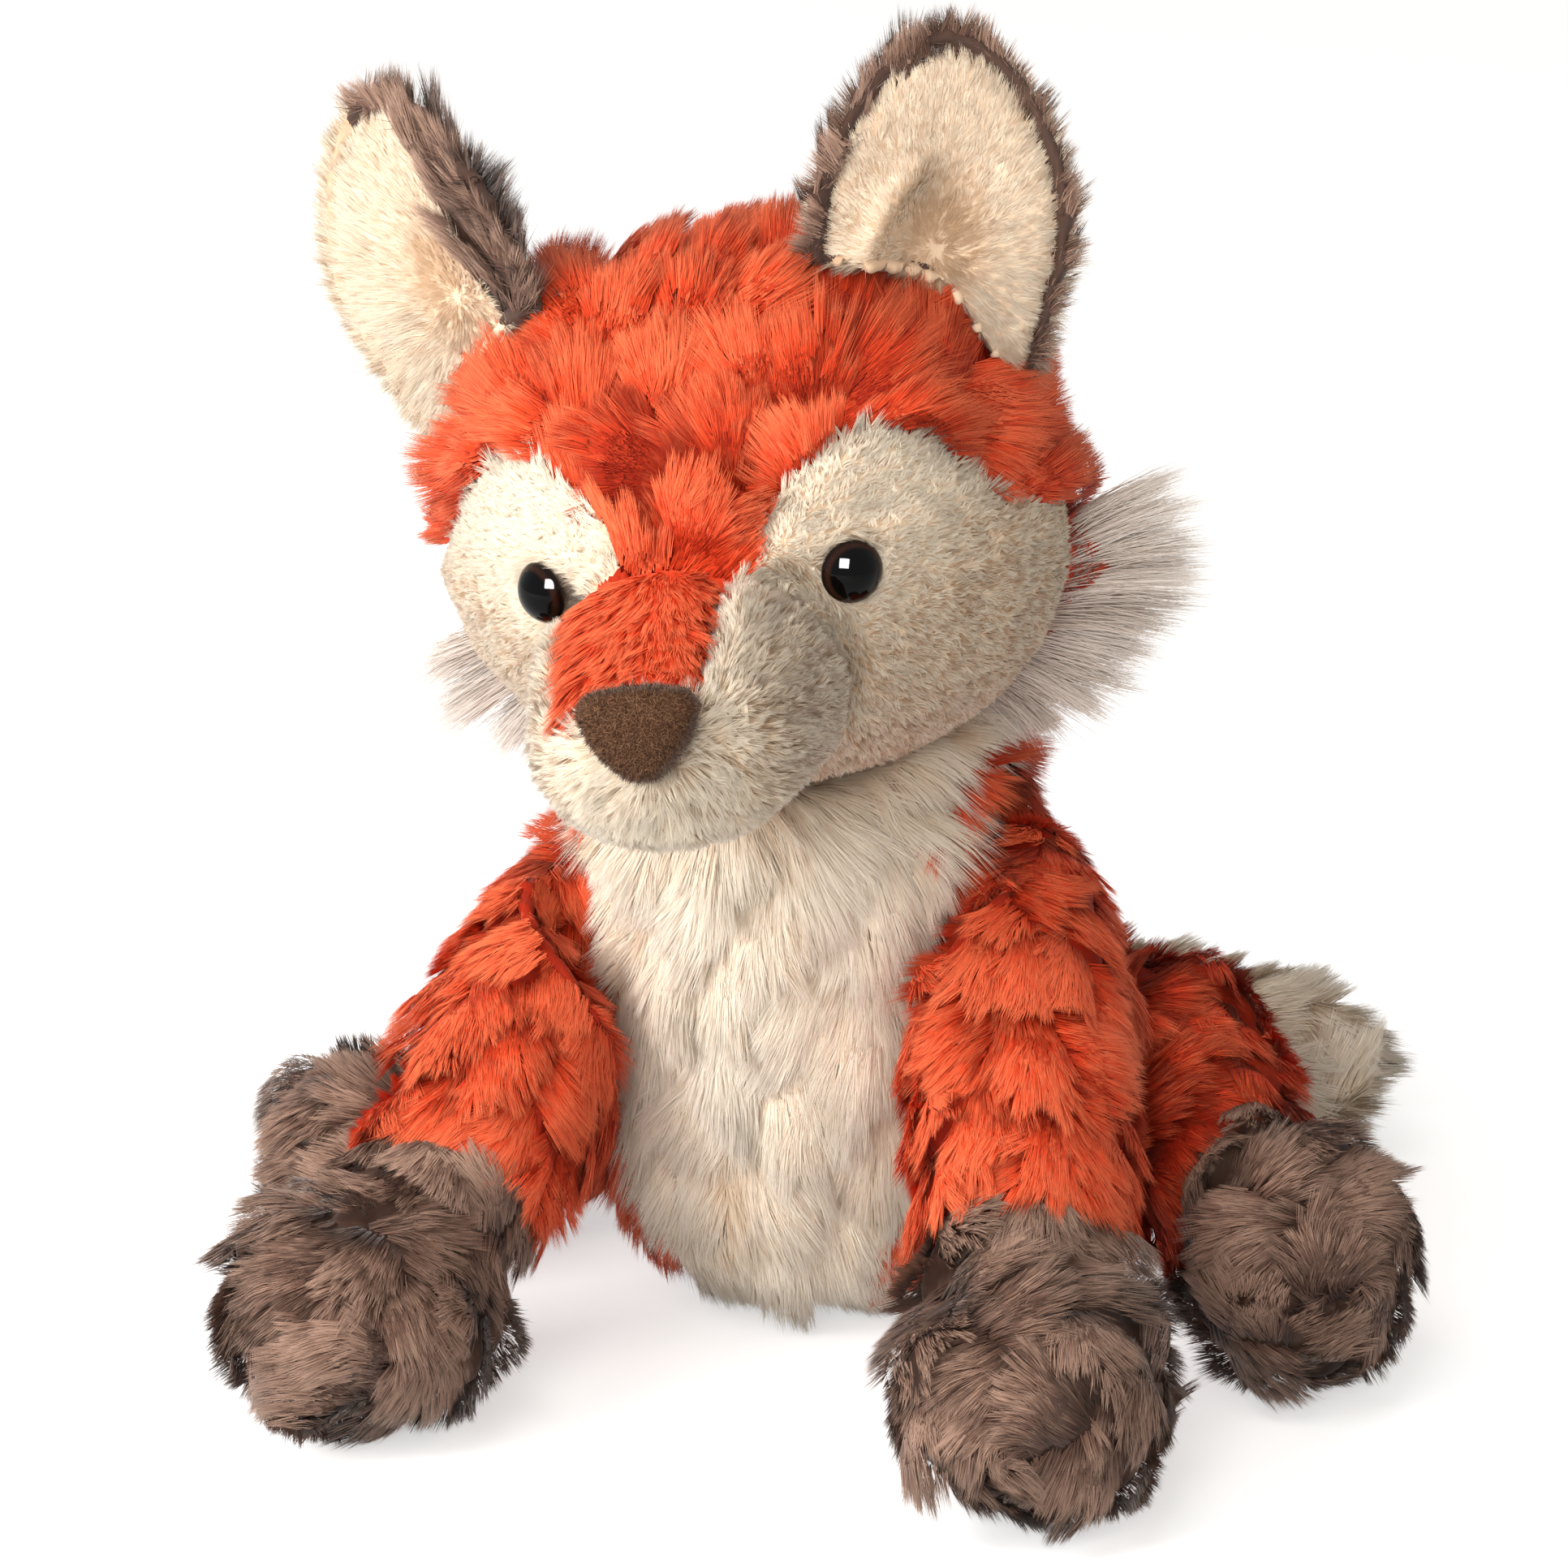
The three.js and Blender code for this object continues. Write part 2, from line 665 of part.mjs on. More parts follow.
// A fan of pointed locks that starts inside the cheek seam and sweeps outward and back
function cheekTuft(side) {
  const outline = [];
  const topAngle = side > 0 ? tuftTopAngleLeft : tuftTopAngleRight;
  const bottomAngle = side > 0 ? tuftBottomAngleLeft : tuftBottomAngleRight;
  const sweepBack = side > 0 ? tuftSweepBackLeft : tuftSweepBackRight;
  const steps = tuftReachShares.length * 2;
  const point = (share, reach) => {
    const angle = THREE.MathUtils.degToRad(THREE.MathUtils.lerp(topAngle, bottomAngle, share));
    const height = angle < 0 ? skullChinHeight : skullCrownHeight;
    const away = new THREE.Vector2(side * Math.cos(angle), Math.sin(angle));
    return new THREE.Vector2(side * skullHalfWidth * Math.cos(angle), height * Math.sin(angle))
      .addScaledVector(away, reach);
  };
  for (let i = 0; i <= steps; i += 1) {
    const tip = tuftReachShares[Math.min((i - 1) / 2, tuftReachShares.length - 1)];
    outline.push(point(i / steps, i % 2 === 1 ? tuftReach * tip : tuftValley));
  }
  for (let i = steps; i >= 0; i -= 2) {
    outline.push(point(i / steps, -tuftRootDepth));
  }
  const fan = new THREE.Shape(outline);
  const slab = new THREE.ExtrudeGeometry(fan, { depth: tuftThickness, bevelEnabled: false });
  slab.rotateX(Math.PI / 2);
  slab.translate(0, tuftThickness / 2, 0);
  const places = slab.attributes.position;
  for (let i = 0; i < places.count; i += 1) {
    const x = places.getX(i);
    const z = places.getZ(i);
    const height = z < 0 ? skullChinHeight : skullCrownHeight;
    const inward = Math.min(1 / Math.hypot(x / skullHalfWidth, z / height), 1);
    const out = Math.hypot(x, z) * (1 - inward) / tuftReach;
    const thin = THREE.MathUtils.lerp(1, tuftTipThicknessShare, Math.min(out, 1));
    places.setY(i, tuftBackY + places.getY(i) * thin + sweepBack * out);
  }
  return solidOfGeometry(slab).subtract(skullForm(-seamGap));
}

// A leaf form from root to rounded tip, cupped forward, with its rings closer together near the tip
function leafForm(halfWidth, thickness, rim, lift) {
  const widths = new THREE.SplineCurve(earWidthShares.map((share, i) =>
    new THREE.Vector2(i / (earWidthShares.length - 1), share)));
  const reach = earLength + earRoot - rim;
  const rings = [];
  for (let i = 0; i <= leafAlong; i += 1) {
    const share = Math.sin((i / (leafAlong + 1)) * (Math.PI / 2));
    const round = Math.sqrt(1 - share ** earTipPower);
    const half = (halfWidth * widths.getPoint(share).y - rim) * round;
    const thick = (thickness / 2) * round;
    const ring = [];
    for (let j = 0; j < leafAround; j += 1) {
      const angle = (j / leafAround) * 2 * Math.PI;
      const x = half * Math.cos(angle);
      const bend = earCup * (x / earHalfWidth) ** 2;
      ring.push(new THREE.Vector3(x, -bend - lift + thick * Math.sin(angle), -earRoot + reach * share));
    }
    rings.push(ring);
  }
  const first = new THREE.Vector3(0, -lift, -earRoot - earRootRounding);
  const last = new THREE.Vector3(0, -lift, earLength - rim);
  return ringSkin(first, rings, last);
}

function earPlace(side) {
  const place = new THREE.Vector3(side * earAcross - earAside, earBehind, earUp);
  const turn = side > 0 ? earTurnLeft : earTurnRight;
  const spread = side > 0 ? earSpreadLeft : earSpreadRight;
  return placing(place, side * turn, -earLean, side * spread);
}

function earParts(side, name) {
  const rest = earPlace(side);
  const pivot = new THREE.Vector3().setFromMatrixPosition(rest);
  const hinge = new THREE.Vector3(1, 0, 0).transformDirection(rest);
  const toPivot = new THREE.Matrix4().makeTranslation(-pivot.x, -pivot.y, -pivot.z);
  const head = moved(skullForm(-swingGap), toPivot);
  const restTurn = new THREE.Matrix4().extractRotation(rest);
  const clear = (solid) => clearOnSwing(solid, head, restTurn, hinge, [-earFlap, 0, earFlap]);
  const lift = (earThickness - liningThickness) / 2 + liningProud;
  const lining = (gap) => leafForm(earHalfWidth + gap, liningThickness + 2 * gap, earRim, lift);
  const back = leafForm(earHalfWidth, earThickness, 0, 0).subtract(lining(seamGap));
  const group = new THREE.Group();
  group.applyMatrix4(rest);
  group.add(meshOf(`ear_back_${name}`, clear(back), brownFur));
  group.add(meshOf(`ear_lining_${name}`, clear(lining(0)), creamVelour));
  return group;
}

function headParts() {
  const head = new THREE.Group();
  head.applyMatrix4(headPlace);
  const aboveNeck = halfSpace(new THREE.Vector3(0, 0, -neckCut), up);
  const skull = skullForm(0).intersect(aboveNeck);
  const snoutCavity = snoutForm(shortPile, aroundCore);
  const fullCore = skullForm(shortPile + seamGap, coreAround);
  const shell = skull.subtract(skullForm(shortPile, coreAround)).subtract(snoutCavity);
  const thickShell = skull.subtract(skullForm(longPile, coreAround)).subtract(snoutCavity);
  const frontY = -overrun;
  let crown = thickShell.subtract(snoutForm(seamGap));
  let core = skullForm(longPile + seamGap, coreAround).add(snoutForm(shortPile + seamGap, aroundCore));
  const nose = noseForm(0);
  const eyeHole = rod(shankRadius + barbHeight + seamGap, -overrun, 0);
  const pocketDepth = eyeRimHeight + shortPile + barbPitch * (barbCount + 1);
  const eyeBed = rod(eyeRadius + seamGap, -eyeRimHeight - seamGap, eyeDomeHeight + overrun);
  const pocket = rod(washerRadius + seamGap, -pocketDepth, 0);
  for (const side of [-1, 1]) {
    const name = side > 0 ? 'left' : 'right';
    const place = eyePlace(side);
    const region = patchOutline(side);
    const patchFront = curtain(region, frontY, -patchBackY);
    const patchGrown = curtain(grownOutline(region, seamGap), frontY, -patchBackY + seamGap);
    const patch = shell.intersect(patchFront)
      .subtract(snoutForm(seamGap))
      .subtract(moved(eyeBed, place))
      .subtract(moved(eyeHole, place));
    crown = crown.subtract(patchGrown);
    core = core.add(fullCore.intersect(patchFront)).subtract(moved(pocket, place));
    head.add(meshOf(`face_patch_${name}`, patch, creamVelour));
    head.add(meshOf(`eye_${name}`, moved(eyeForm(), place), blackGloss));
    head.add(meshOf(`eye_washer_${name}`, moved(washerForm(), place), whitePlastic));
    head.add(meshOf(`cheek_tuft_${name}`, cheekTuft(side).intersect(aboveNeck), whiteFur));
    head.add(earParts(side, name));
  }
  const snout = snoutForm(0)
    .subtract(skullForm(-seamGap / 2))
    .subtract(snoutCavity);
  const strip = (gap) => {
    const shape = new THREE.Shape([
      new THREE.Vector2(-bridgeRootAside - bridgeRootHalfWidth - gap, 0),
      new THREE.Vector2(-bridgeRootAside + bridgeRootHalfWidth + gap, 0),
      new THREE.Vector2(-bridgeTipAside + bridgeTipHalfWidth + gap, -bridgeFrontY - gap),
      new THREE.Vector2(-bridgeTipAside - bridgeTipHalfWidth - gap, -bridgeFrontY - gap),
    ]);
    const slab = new THREE.ExtrudeGeometry(shape, { depth: overrun, bevelEnabled: false });
    return solidOfGeometry(slab.translate(0, 0, -bridgeUnderside - gap));
  };
  head.add(meshOf('crown_coat', crown, orangeFur));
  head.add(meshOf('muzzle', snout.subtract(strip(seamGap)).subtract(noseForm(seamGap)), greyVelour));
  head.add(meshOf('nose_bridge', snout.intersect(strip(0)).subtract(noseForm(seamGap)), orangeFur));
  head.add(meshOf('nose_pad', nose, noseFelt));
  head.add(meshOf('head_stuffing', core.intersect(aboveNeck).subtract(noseForm(seamGap)), stuffing));
  return head;
}

// The body with its clearance, in the frame of a limb's pivot
function bodyAbout(pivot) {
  const body = bodyForm(-swingGap).intersect(underNeck(0)).subtract(sockets(0));
  return moved(body, new THREE.Matrix4().makeTranslation(-pivot.x, -pivot.y, -pivot.z));
}

// A limb in the frame of its joint, cut by the floor and by the body wherever it swings.
// A plane splits its coat in two, and its stuffing runs through both.
function limbParts(build, rest, pivot, swing, split, names, colours) {
  const place = new THREE.Matrix4().makeTranslation(pivot.x, pivot.y, pivot.z).multiply(rest);
  const floorPoint = new THREE.Vector3(0, 0, -pivot.z);
  const clothPoint = new THREE.Vector3(0, 0, seatCloth - pivot.z);
  const corePoint = new THREE.Vector3(0, 0, seatCloth + seamGap - pivot.z);
  const whole = build(0).intersect(halfSpace(floorPoint, up));
  const outer = clearOnSwing(whole, bodyAbout(pivot), rest, swing.axis, swing.angles);
  const cavity = build(longPile, aroundCore).intersect(halfSpace(clothPoint, up));
  const core = build(longPile + seamGap, aroundCore).intersect(halfSpace(corePoint, up)).intersect(outer);
  const skin = outer.subtract(cavity);
  const nearSide = halfSpace(split.point, split.direction.clone().negate());
  const farPoint = split.point.clone().addScaledVector(split.direction, seamGap);
  const farSide = halfSpace(farPoint, split.direction);
  const group = new THREE.Group();
  group.applyMatrix4(place);
  group.add(meshOf(names[0], skin.intersect(nearSide), colours[0]));
  group.add(meshOf(names[1], skin.intersect(farSide), colours[1]));
  group.add(meshOf(names[2], core, stuffing));
  return group;
}

function armKnots(side, drop) {
  const bow = side > 0 ? armBowLeft : armBowRight;
  return armReachShares.map((share, i) => ({
    place: new THREE.Vector3(-side * bow * armBowShares[i], -armReach * share, -drop * armDropShares[i]),
    width: (i === 0 ? shoulderRadius : armThickness) * armWidthShares[i],
    height: (i === 0 ? shoulderRadius : armThickness) * armWidthShares[i],
  }));
}

function armForm(side, drop, inset, around = aroundLimb) {
  const paw = new THREE.Vector3(0, -armReach, -drop);
  return stuffedForm(armKnots(side, drop), sideways, shoulderRadius, armThickness, around, alongLimb, inset)
    .add(ball(paw, pawHalfWidth - inset, pawHalfLength - inset, pawHalfHeight - inset, around));
}

function legForm(side, inset, around = aroundLimb) {
  const rise = side > 0 ? haunchRiseLeft : haunchRiseRight;
  const reach = side > 0 ? legReachLeft : legReachRight;
  const thickness = side > 0 ? legThicknessLeft : legThicknessRight;
  const halfHeight = side > 0 ? footHalfHeightLeft : footHalfHeightRight;
  const foot = new THREE.Vector3(0, -reach, halfHeight - footSink - hipHeight);
  const knots = legReachShares.map((share, i) => ({
    place: new THREE.Vector3(
      side * reach * legTurnShares[i], -reach * share, rise * legRiseShares[i] + foot.z * legFallShares[i]),
    width: thickness * legWidthShares[i],
    height: thickness * legWidthShares[i],
  }));
  const footBall = ball(foot, footHalfWidth - inset, footHalfLength - inset, halfHeight - inset, around);
  const shin = stuffedForm(knots, sideways, knots[0].width, knots[3].width, around, alongLimb, inset);
  return shin.add(footBall);
}

function tailForm(inset, around = aroundLimb) {
  const knots = tailReachShares.map((share, i) => ({
    place: new THREE.Vector3(tailReach * share, tailSpread * tailSpreadShares[i],
      (tailLieHeight - tailRootHeight) * tailLieShares[i]),
    width: tailThickness * tailWidthShares[i],
    height: tailThickness * tailWidthShares[i],
  }));
  return stuffedForm(knots, up, tailRootRadius, tailTipDepth, around, alongLimb, inset);
}

function armParts(side, name) {
  const pivot = shoulderPoint(side);
  const splay = THREE.MathUtils.degToRad(side > 0 ? armSplayLeft : armSplayRight);
  const drop = pivot.z - pawCentreHeight;
  const split = {
    point: new THREE.Vector3(0, -armReach * cuffShare, -drop * cuffShare),
    direction: new THREE.Vector3(0, -armReach, -drop).normalize(),
  };
  const names = [`sleeve_${name}`, `forepaw_${name}`, `arm_stuffing_${name}`];
  const build = (inset, around) => armForm(side, drop, inset, around);
  const rest = new THREE.Matrix4().makeRotationZ(side * splay);
  const swing = { axis: sideways, angles: stepsTo(-armRaise) };
  return limbParts(build, rest, pivot, swing, split, names, [orangeFur, brownFur]);
}

function legParts(side, name) {
  const pivot = hipPoint(side);
  const splay = THREE.MathUtils.degToRad(90 - (side > 0 ? legSplayLeft : legSplayRight));
  const reach = side > 0 ? legReachLeft : legReachRight;
  const split = { point: new THREE.Vector3(0, -reach * ankleShare, 0), direction: forward };
  const names = [`thigh_${name}`, `foot_${name}`, `leg_stuffing_${name}`];
  const build = (inset, around) => legForm(side, inset, around);
  const rest = new THREE.Matrix4().makeRotationZ(side * splay);
  const swing = { axis: up, angles: stepsTo(side * legSpread) };
  return limbParts(build, rest, pivot, swing, split, names, [orangeFur, brownFur]);
}

function tailParts() {
  const split = { point: new THREE.Vector3(tailReach * tailSplitShare, tailSpread, 0), direction: sideways };
  const names = ['tail_coat', 'tail_tip', 'tail_stuffing'];
  const swing = { axis: up, angles: [0] };
  return limbParts(tailForm, new THREE.Matrix4(), tailRoot, swing, split, names, [orangeFur, creamFur]);
}

const fox = new THREE.Group();
fox.name = 'plush_fox';
fox.add(bodyParts());
fox.add(headParts());
for (const side of [-1, 1]) {
  const name = side > 0 ? 'left' : 'right';
  fox.add(armParts(side, name));
  fox.add(legParts(side, name));
}
fox.add(tailParts());

export default fox;
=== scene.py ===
import bpy
import math
import numpy as np
from mathutils import Matrix, Vector
from mathutils.bvhtree import BVHTree
from mathutils.kdtree import KDTree


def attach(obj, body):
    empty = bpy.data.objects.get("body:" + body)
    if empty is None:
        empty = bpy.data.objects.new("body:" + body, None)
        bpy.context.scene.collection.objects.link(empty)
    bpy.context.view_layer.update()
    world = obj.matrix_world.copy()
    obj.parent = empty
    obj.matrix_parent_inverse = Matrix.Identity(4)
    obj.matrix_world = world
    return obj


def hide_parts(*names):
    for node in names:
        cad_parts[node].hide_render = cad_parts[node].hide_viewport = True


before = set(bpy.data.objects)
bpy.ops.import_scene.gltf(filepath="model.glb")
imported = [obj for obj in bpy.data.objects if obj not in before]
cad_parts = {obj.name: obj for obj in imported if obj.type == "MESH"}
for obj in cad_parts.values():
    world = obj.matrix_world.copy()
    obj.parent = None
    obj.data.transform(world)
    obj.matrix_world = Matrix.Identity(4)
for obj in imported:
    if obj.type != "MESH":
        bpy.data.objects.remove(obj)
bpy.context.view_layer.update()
mm = 0.001
scene = bpy.context.scene
print("frame loaded")

# Camera, at the photograph's angle
shot = {"side": 17.0, "above": 20.0, "distance": 1.15, "target": (0.0, -0.025, 0.115), "lens": 133.9,
        "sensor": 36.0, "clipEnd": 20.0}


# A camera or lamp at its angles and distance from the target, turned to face it
def aimed(thing, spot):
    side, above = math.radians(spot["side"]), math.radians(spot["above"])
    away = Vector((math.sin(side) * math.cos(above), -math.cos(side) * math.cos(above), math.sin(above)))
    thing.location = Vector(shot["target"]) + away * spot["distance"]
    thing.rotation_euler = (Vector(shot["target"]) - thing.location).to_track_quat("-Z", "Y").to_euler()
    scene.collection.objects.link(thing)
    return thing


def makeCamera():
    data = bpy.data.cameras.new("photoCamera")
    data.lens = shot["lens"]
    data.sensor_width = shot["sensor"]
    data.clip_end = shot["clipEnd"]
    scene.camera = aimed(bpy.data.objects.new("photoCamera", data), shot)


makeCamera()

# Node helpers
markLayer = "OFBake"  # the map that holds each fibre's tone, and how far along the fibre a point is


class Nodes:
    def __init__(self, tree):
        self.tree = tree

    def add(self, kind, **settings):
        node = self.tree.nodes.new(kind)
        for name, value in settings.items():
            setattr(node, name, value)
        return node

    def put(self, socket, value):
        if isinstance(value, bpy.types.NodeSocket):
            self.tree.links.new(value, socket)
        elif isinstance(value, tuple) and len(value) == 3 and socket.type == "RGBA":
            socket.default_value = (*value, 1)
        else:
            socket.default_value = value

    # A node with its first inputs filled in
    def fed(self, kind, *values, **settings):
        node = self.add(kind, **settings)
        for socket, value in zip(node.inputs, values):
            self.put(socket, value)
        return node.outputs

    def math(self, kind, a, b):
        return self.fed("ShaderNodeMath", a, b, operation=kind)[0]

    def ease(self, value, low, high, start=0.0, end=1.0):
        values = (value, low, high, start, end)
        return self.fed("ShaderNodeMapRange", *values, interpolation_type="SMOOTHSTEP")[0]

    def join(self, x, y):
        return self.fed("ShaderNodeCombineXYZ", x, y)[0]

    def mix(self, share, a, b):
        node = self.add("ShaderNodeMix", data_type="RGBA")
        for socket, value in zip((node.inputs[0], node.inputs[6], node.inputs[7]), (share, a, b)):
            self.put(socket, value)
        return node.outputs[2]

    def noise(self, place, scale, detail, rough):
        node = self.add("ShaderNodeTexNoise")
        for label, value in (("Vector", place), ("Scale", scale), ("Detail", detail), ("Roughness", rough)):
            self.put(node.inputs[label], value)
        return node.outputs["Fac"]

    def marks(self):
        split = self.fed("ShaderNodeSeparateXYZ", self.add("ShaderNodeUVMap", uv_map=markLayer).outputs[0])
        return split[0], split[1]

    # 1 for the rays that show the background, 0 for those that light the object
    def shownRays(self):
        rays = self.add("ShaderNodeLightPath").outputs
        shown = self.math("MAXIMUM", rays["Is Camera Ray"], rays["Is Glossy Ray"])
        return self.math("MAXIMUM", shown, rays["Is Transmission Ray"])


def newMaterial(name):
    material = bpy.data.materials.new(name)
    material.use_nodes = True
    return material, Nodes(material.node_tree), material.node_tree.nodes["Principled BSDF"].inputs


# Pile colour: tone tells one fibre from the next, along runs from its root to its tip. The dark root colour
# is painted shade deep in the pile, the lighter tip colour painted light on the ends
pileTone = {"rootEnd": 0.5, "tipStart": 0.45, "deepFrom": 0.05, "deepTo": 0.62, "deepShare": 0.8,
            "paleFrom": 0.58, "paleTo": 0.95, "paleShare": 0.55, "fineAcross": 260.0, "fineAlong": 3.0,
            "fineDetail": 3.0, "fineRough": 0.6}


def makePileGroup():
    tree = bpy.data.node_groups.new("pileColour", "ShaderNodeTree")
    for label in ("Tone", "Along", "Streaks"):
        tree.interface.new_socket(label, in_out="INPUT", socket_type="NodeSocketFloat")
    for label in ("Root", "Middle", "Tip", "Shade"):
        tree.interface.new_socket(label, in_out="INPUT", socket_type="NodeSocketColor")
    tree.interface.new_socket("Color", in_out="OUTPUT", socket_type="NodeSocketColor")
    g = Nodes(tree)
    given, out = g.add("NodeGroupInput").outputs, g.add("NodeGroupOutput").inputs
    tone, along = given["Tone"], given["Along"]
    colour = g.mix(g.ease(along, 0.0, pileTone["rootEnd"]), given["Root"], given["Middle"])
    colour = g.mix(g.ease(along, pileTone["tipStart"], 1.0), colour, given["Tip"])
    deep = g.ease(tone, pileTone["deepFrom"], pileTone["deepTo"], 1.0, 0.0)
    colour = g.mix(g.math("MULTIPLY", deep, pileTone["deepShare"]), colour, given["Shade"])
    pale = g.ease(tone, pileTone["paleFrom"], pileTone["paleTo"])
    colour = g.mix(g.math("MULTIPLY", pale, pileTone["paleShare"]), colour, given["Tip"])
    across = g.math("MULTIPLY", tone, pileTone["fineAcross"])
    lengthwise = g.math("MULTIPLY", along, pileTone["fineAlong"])
    fine = g.noise(g.join(across, lengthwise), 1.0, pileTone["fineDetail"], pileTone["fineRough"])
    span = g.math("MULTIPLY", given["Streaks"], g.math("SUBTRACT", fine, 0.5))
    scaled = g.add("ShaderNodeVectorMath", operation="SCALE")
    g.put(scaled.inputs[0], colour)
    g.put(scaled.inputs["Scale"], g.math("ADD", 1.0, span))
    g.put(out["Color"], scaled.outputs[0])
    return tree


pileGroup = makePileGroup()


def pileMaterial(name, look):
    material, n, shader = newMaterial(name)
    group = n.add("ShaderNodeGroup", node_tree=pileGroup)
    for label, value in zip(("Tone", "Along"), n.marks()):
        n.put(group.inputs[label], value)
    for label in ("Root", "Middle", "Tip", "Shade", "Streaks"):
        n.put(group.inputs[label], look[label.lower()])
    n.put(shader["Base Color"], group.outputs["Color"])
    n.put(shader["Roughness"], look["roughness"])
    n.put(shader["Specular IOR Level"], look["gloss"])
    n.put(shader["Sheen Weight"], look["sheen"])
    n.put(shader["Sheen Roughness"], 0.4)
    n.put(shader["Sheen Tint"], look["sheenTint"])
    return material


def srgb(*levels):
    shares = (level / 255 for level in levels)
    return tuple(c / 12.92 if c <= 0.04045 else ((c + 0.055) / 1.055) ** 2.4 for c in shares)


# Each pile's root colour is painted shade and its tip colour painted light; middle is the pile's own colour,
# and shade is what low tones turn to, random darker fibres and painted shade alike
piles = {
    "orange_fur": {
        "root": srgb(132, 20, 7), "middle": srgb(233, 76, 39), "tip": srgb(252, 128, 84),
        "shade": srgb(138, 24, 10), "streaks": 0.5, "roughness": 0.6, "gloss": 0.25, "sheen": 0.1,
        "sheenTint": (1.0, 0.6, 0.4)},
    "cream_fur": {
        "root": srgb(222, 190, 156), "middle": srgb(250, 233, 210), "tip": srgb(254, 244, 228),
        "shade": srgb(226, 196, 162), "streaks": 0.16, "roughness": 0.6, "gloss": 0.3, "sheen": 0.15,
        "sheenTint": (1.0, 0.97, 0.92)},
    "cream_velour": {
        "root": srgb(228, 192, 156), "middle": srgb(246, 226, 199), "tip": srgb(252, 239, 218),
        "shade": srgb(192, 146, 104), "streaks": 0.08, "roughness": 0.65, "gloss": 0.25, "sheen": 0.15,
        "sheenTint": (1.0, 0.96, 0.9)},
    "grey_velour": {
        "root": srgb(180, 142, 108), "middle": srgb(240, 214, 182), "tip": srgb(252, 240, 220),
        "shade": srgb(144, 104, 74), "streaks": 0.2, "roughness": 0.62, "gloss": 0.3, "sheen": 0.15,
        "sheenTint": (1.0, 0.97, 0.93)},
    "brown_fur": {
        "root": srgb(40, 25, 18), "middle": srgb(123, 91, 76), "tip": srgb(184, 150, 130),
        "shade": srgb(64, 42, 33), "streaks": 0.6, "roughness": 0.55, "gloss": 0.35, "sheen": 0.2,
        "sheenTint": (1.0, 0.93, 0.9)},
    "white_fur": {
        "root": srgb(206, 190, 178), "middle": srgb(228, 214, 202), "tip": srgb(246, 238, 230),
        "shade": srgb(180, 160, 146), "streaks": 0.3, "roughness": 0.5, "gloss": 0.35, "sheen": 0.15,
        "sheenTint": (1.0, 0.98, 0.98)},
    "nose_felt": {
        "root": srgb(66, 42, 29), "middle": srgb(98, 66, 45), "tip": srgb(156, 118, 92),
        "shade": srgb(48, 31, 22), "streaks": 0.5, "roughness": 0.8, "gloss": 0.15, "sheen": 0.25,
        "sheenTint": (1.0, 0.92, 0.86)},
}
materials = {name: pileMaterial(name, look) for name, look in piles.items()}
print("pile materials made")


# Number helpers
def ramp(value, low, high):
    share = np.clip((value - low) / (high - low), 0, 1)
    return share * share * (3 - 2 * share)


def unit(v):
    return v / np.maximum(np.linalg.norm(v, axis=1, keepdims=True), 1e-12)


def scattered(index, values, size):
    columns = [np.bincount(index, weights=values[:, k], minlength=size) for k in range(values.shape[1])]
    return np.stack(columns, axis=1)


def meanBy(index, values, size):
    return scattered(index, values, size) / np.maximum(np.bincount(index, minlength=size), 1)[:, None]


# Mesh helpers
def meshArrays(mesh):
    places = np.empty(len(mesh.vertices) * 3)
    mesh.vertices.foreach_get("co", places)
    mesh.calc_loop_triangles()
    corners = np.empty(len(mesh.loop_triangles) * 3, dtype=np.int32)
    mesh.loop_triangles.foreach_get("vertices", corners)
    return places.reshape(-1, 3), corners.reshape(-1, 3)


def nodeArrays(name):
    return meshArrays(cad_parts[name].data)


# Several meshes as one: their places and faces, and any further values of their points
def joined(parts):
    places, faces, *more = zip(*parts)
    starts = np.cumsum([0] + [len(p) for p in places[:-1]])
    faces = [f + start for f, start in zip(faces, starts)]
    return [np.concatenate(values) for values in (places, faces, *more)]


def placed(name, mesh):
    thing = bpy.data.objects.new(name, mesh)
    scene.collection.objects.link(thing)
    return thing


def treeOf(places, faces):
    return BVHTree.FromPolygons(places.tolist(), faces.tolist())


def pointTree(places):
    tree = KDTree(len(places))
    for i, p in enumerate(places.tolist()):
        tree.insert(p, i)
    tree.balance()
    return tree


def lookUp(points, places):
    tree = pointTree(places)
    return np.array([tree.find(p)[1] for p in points.tolist()], dtype=np.int64)


def vertexNormals(places, faces):
    a, b, c = (places[faces[:, k]] for k in range(3))
    face = np.cross(b - a, c - a)
    return unit(sum(scattered(faces[:, k], face, len(places)) for k in range(3)))


def halfEdges(faces):
    return np.concatenate([faces[:, [0, 1]], faces[:, [1, 2]], faces[:, [2, 0]]])


def edgesOf(faces):
    return np.unique(np.sort(halfEdges(faces), axis=1), axis=0)


def smoothed(values, edges, passes, amounts=(0.5,)):
    flat = values.ndim == 1
    values = values[:, None].copy() if flat else values.copy()
    both = np.concatenate([edges, edges[:, ::-1]])
    count = np.maximum(np.bincount(both[:, 0], minlength=len(values)), 1)[:, None]
    for i in range(passes):
        mean = scattered(both[:, 0], values[both[:, 1]], len(values)) / count
        values += (mean - values) * amounts[i % len(amounts)]
    return values[:, 0] if flat else values


def biggestPart(places, faces):
    label = np.arange(len(places))
    edges = edgesOf(faces)
    while True:
        low = np.minimum(label[edges[:, 0]], label[edges[:, 1]])
        after = label.copy()
        np.minimum.at(after, edges[:, 0], low)
        np.minimum.at(after, edges[:, 1], low)
        after = after[after]
        if (after == label).all():
            break
        label = after
    keep = label == np.bincount(label).argmax()
    order = np.cumsum(keep) - 1
    return places[keep], order[faces[keep[faces[:, 0]]]]


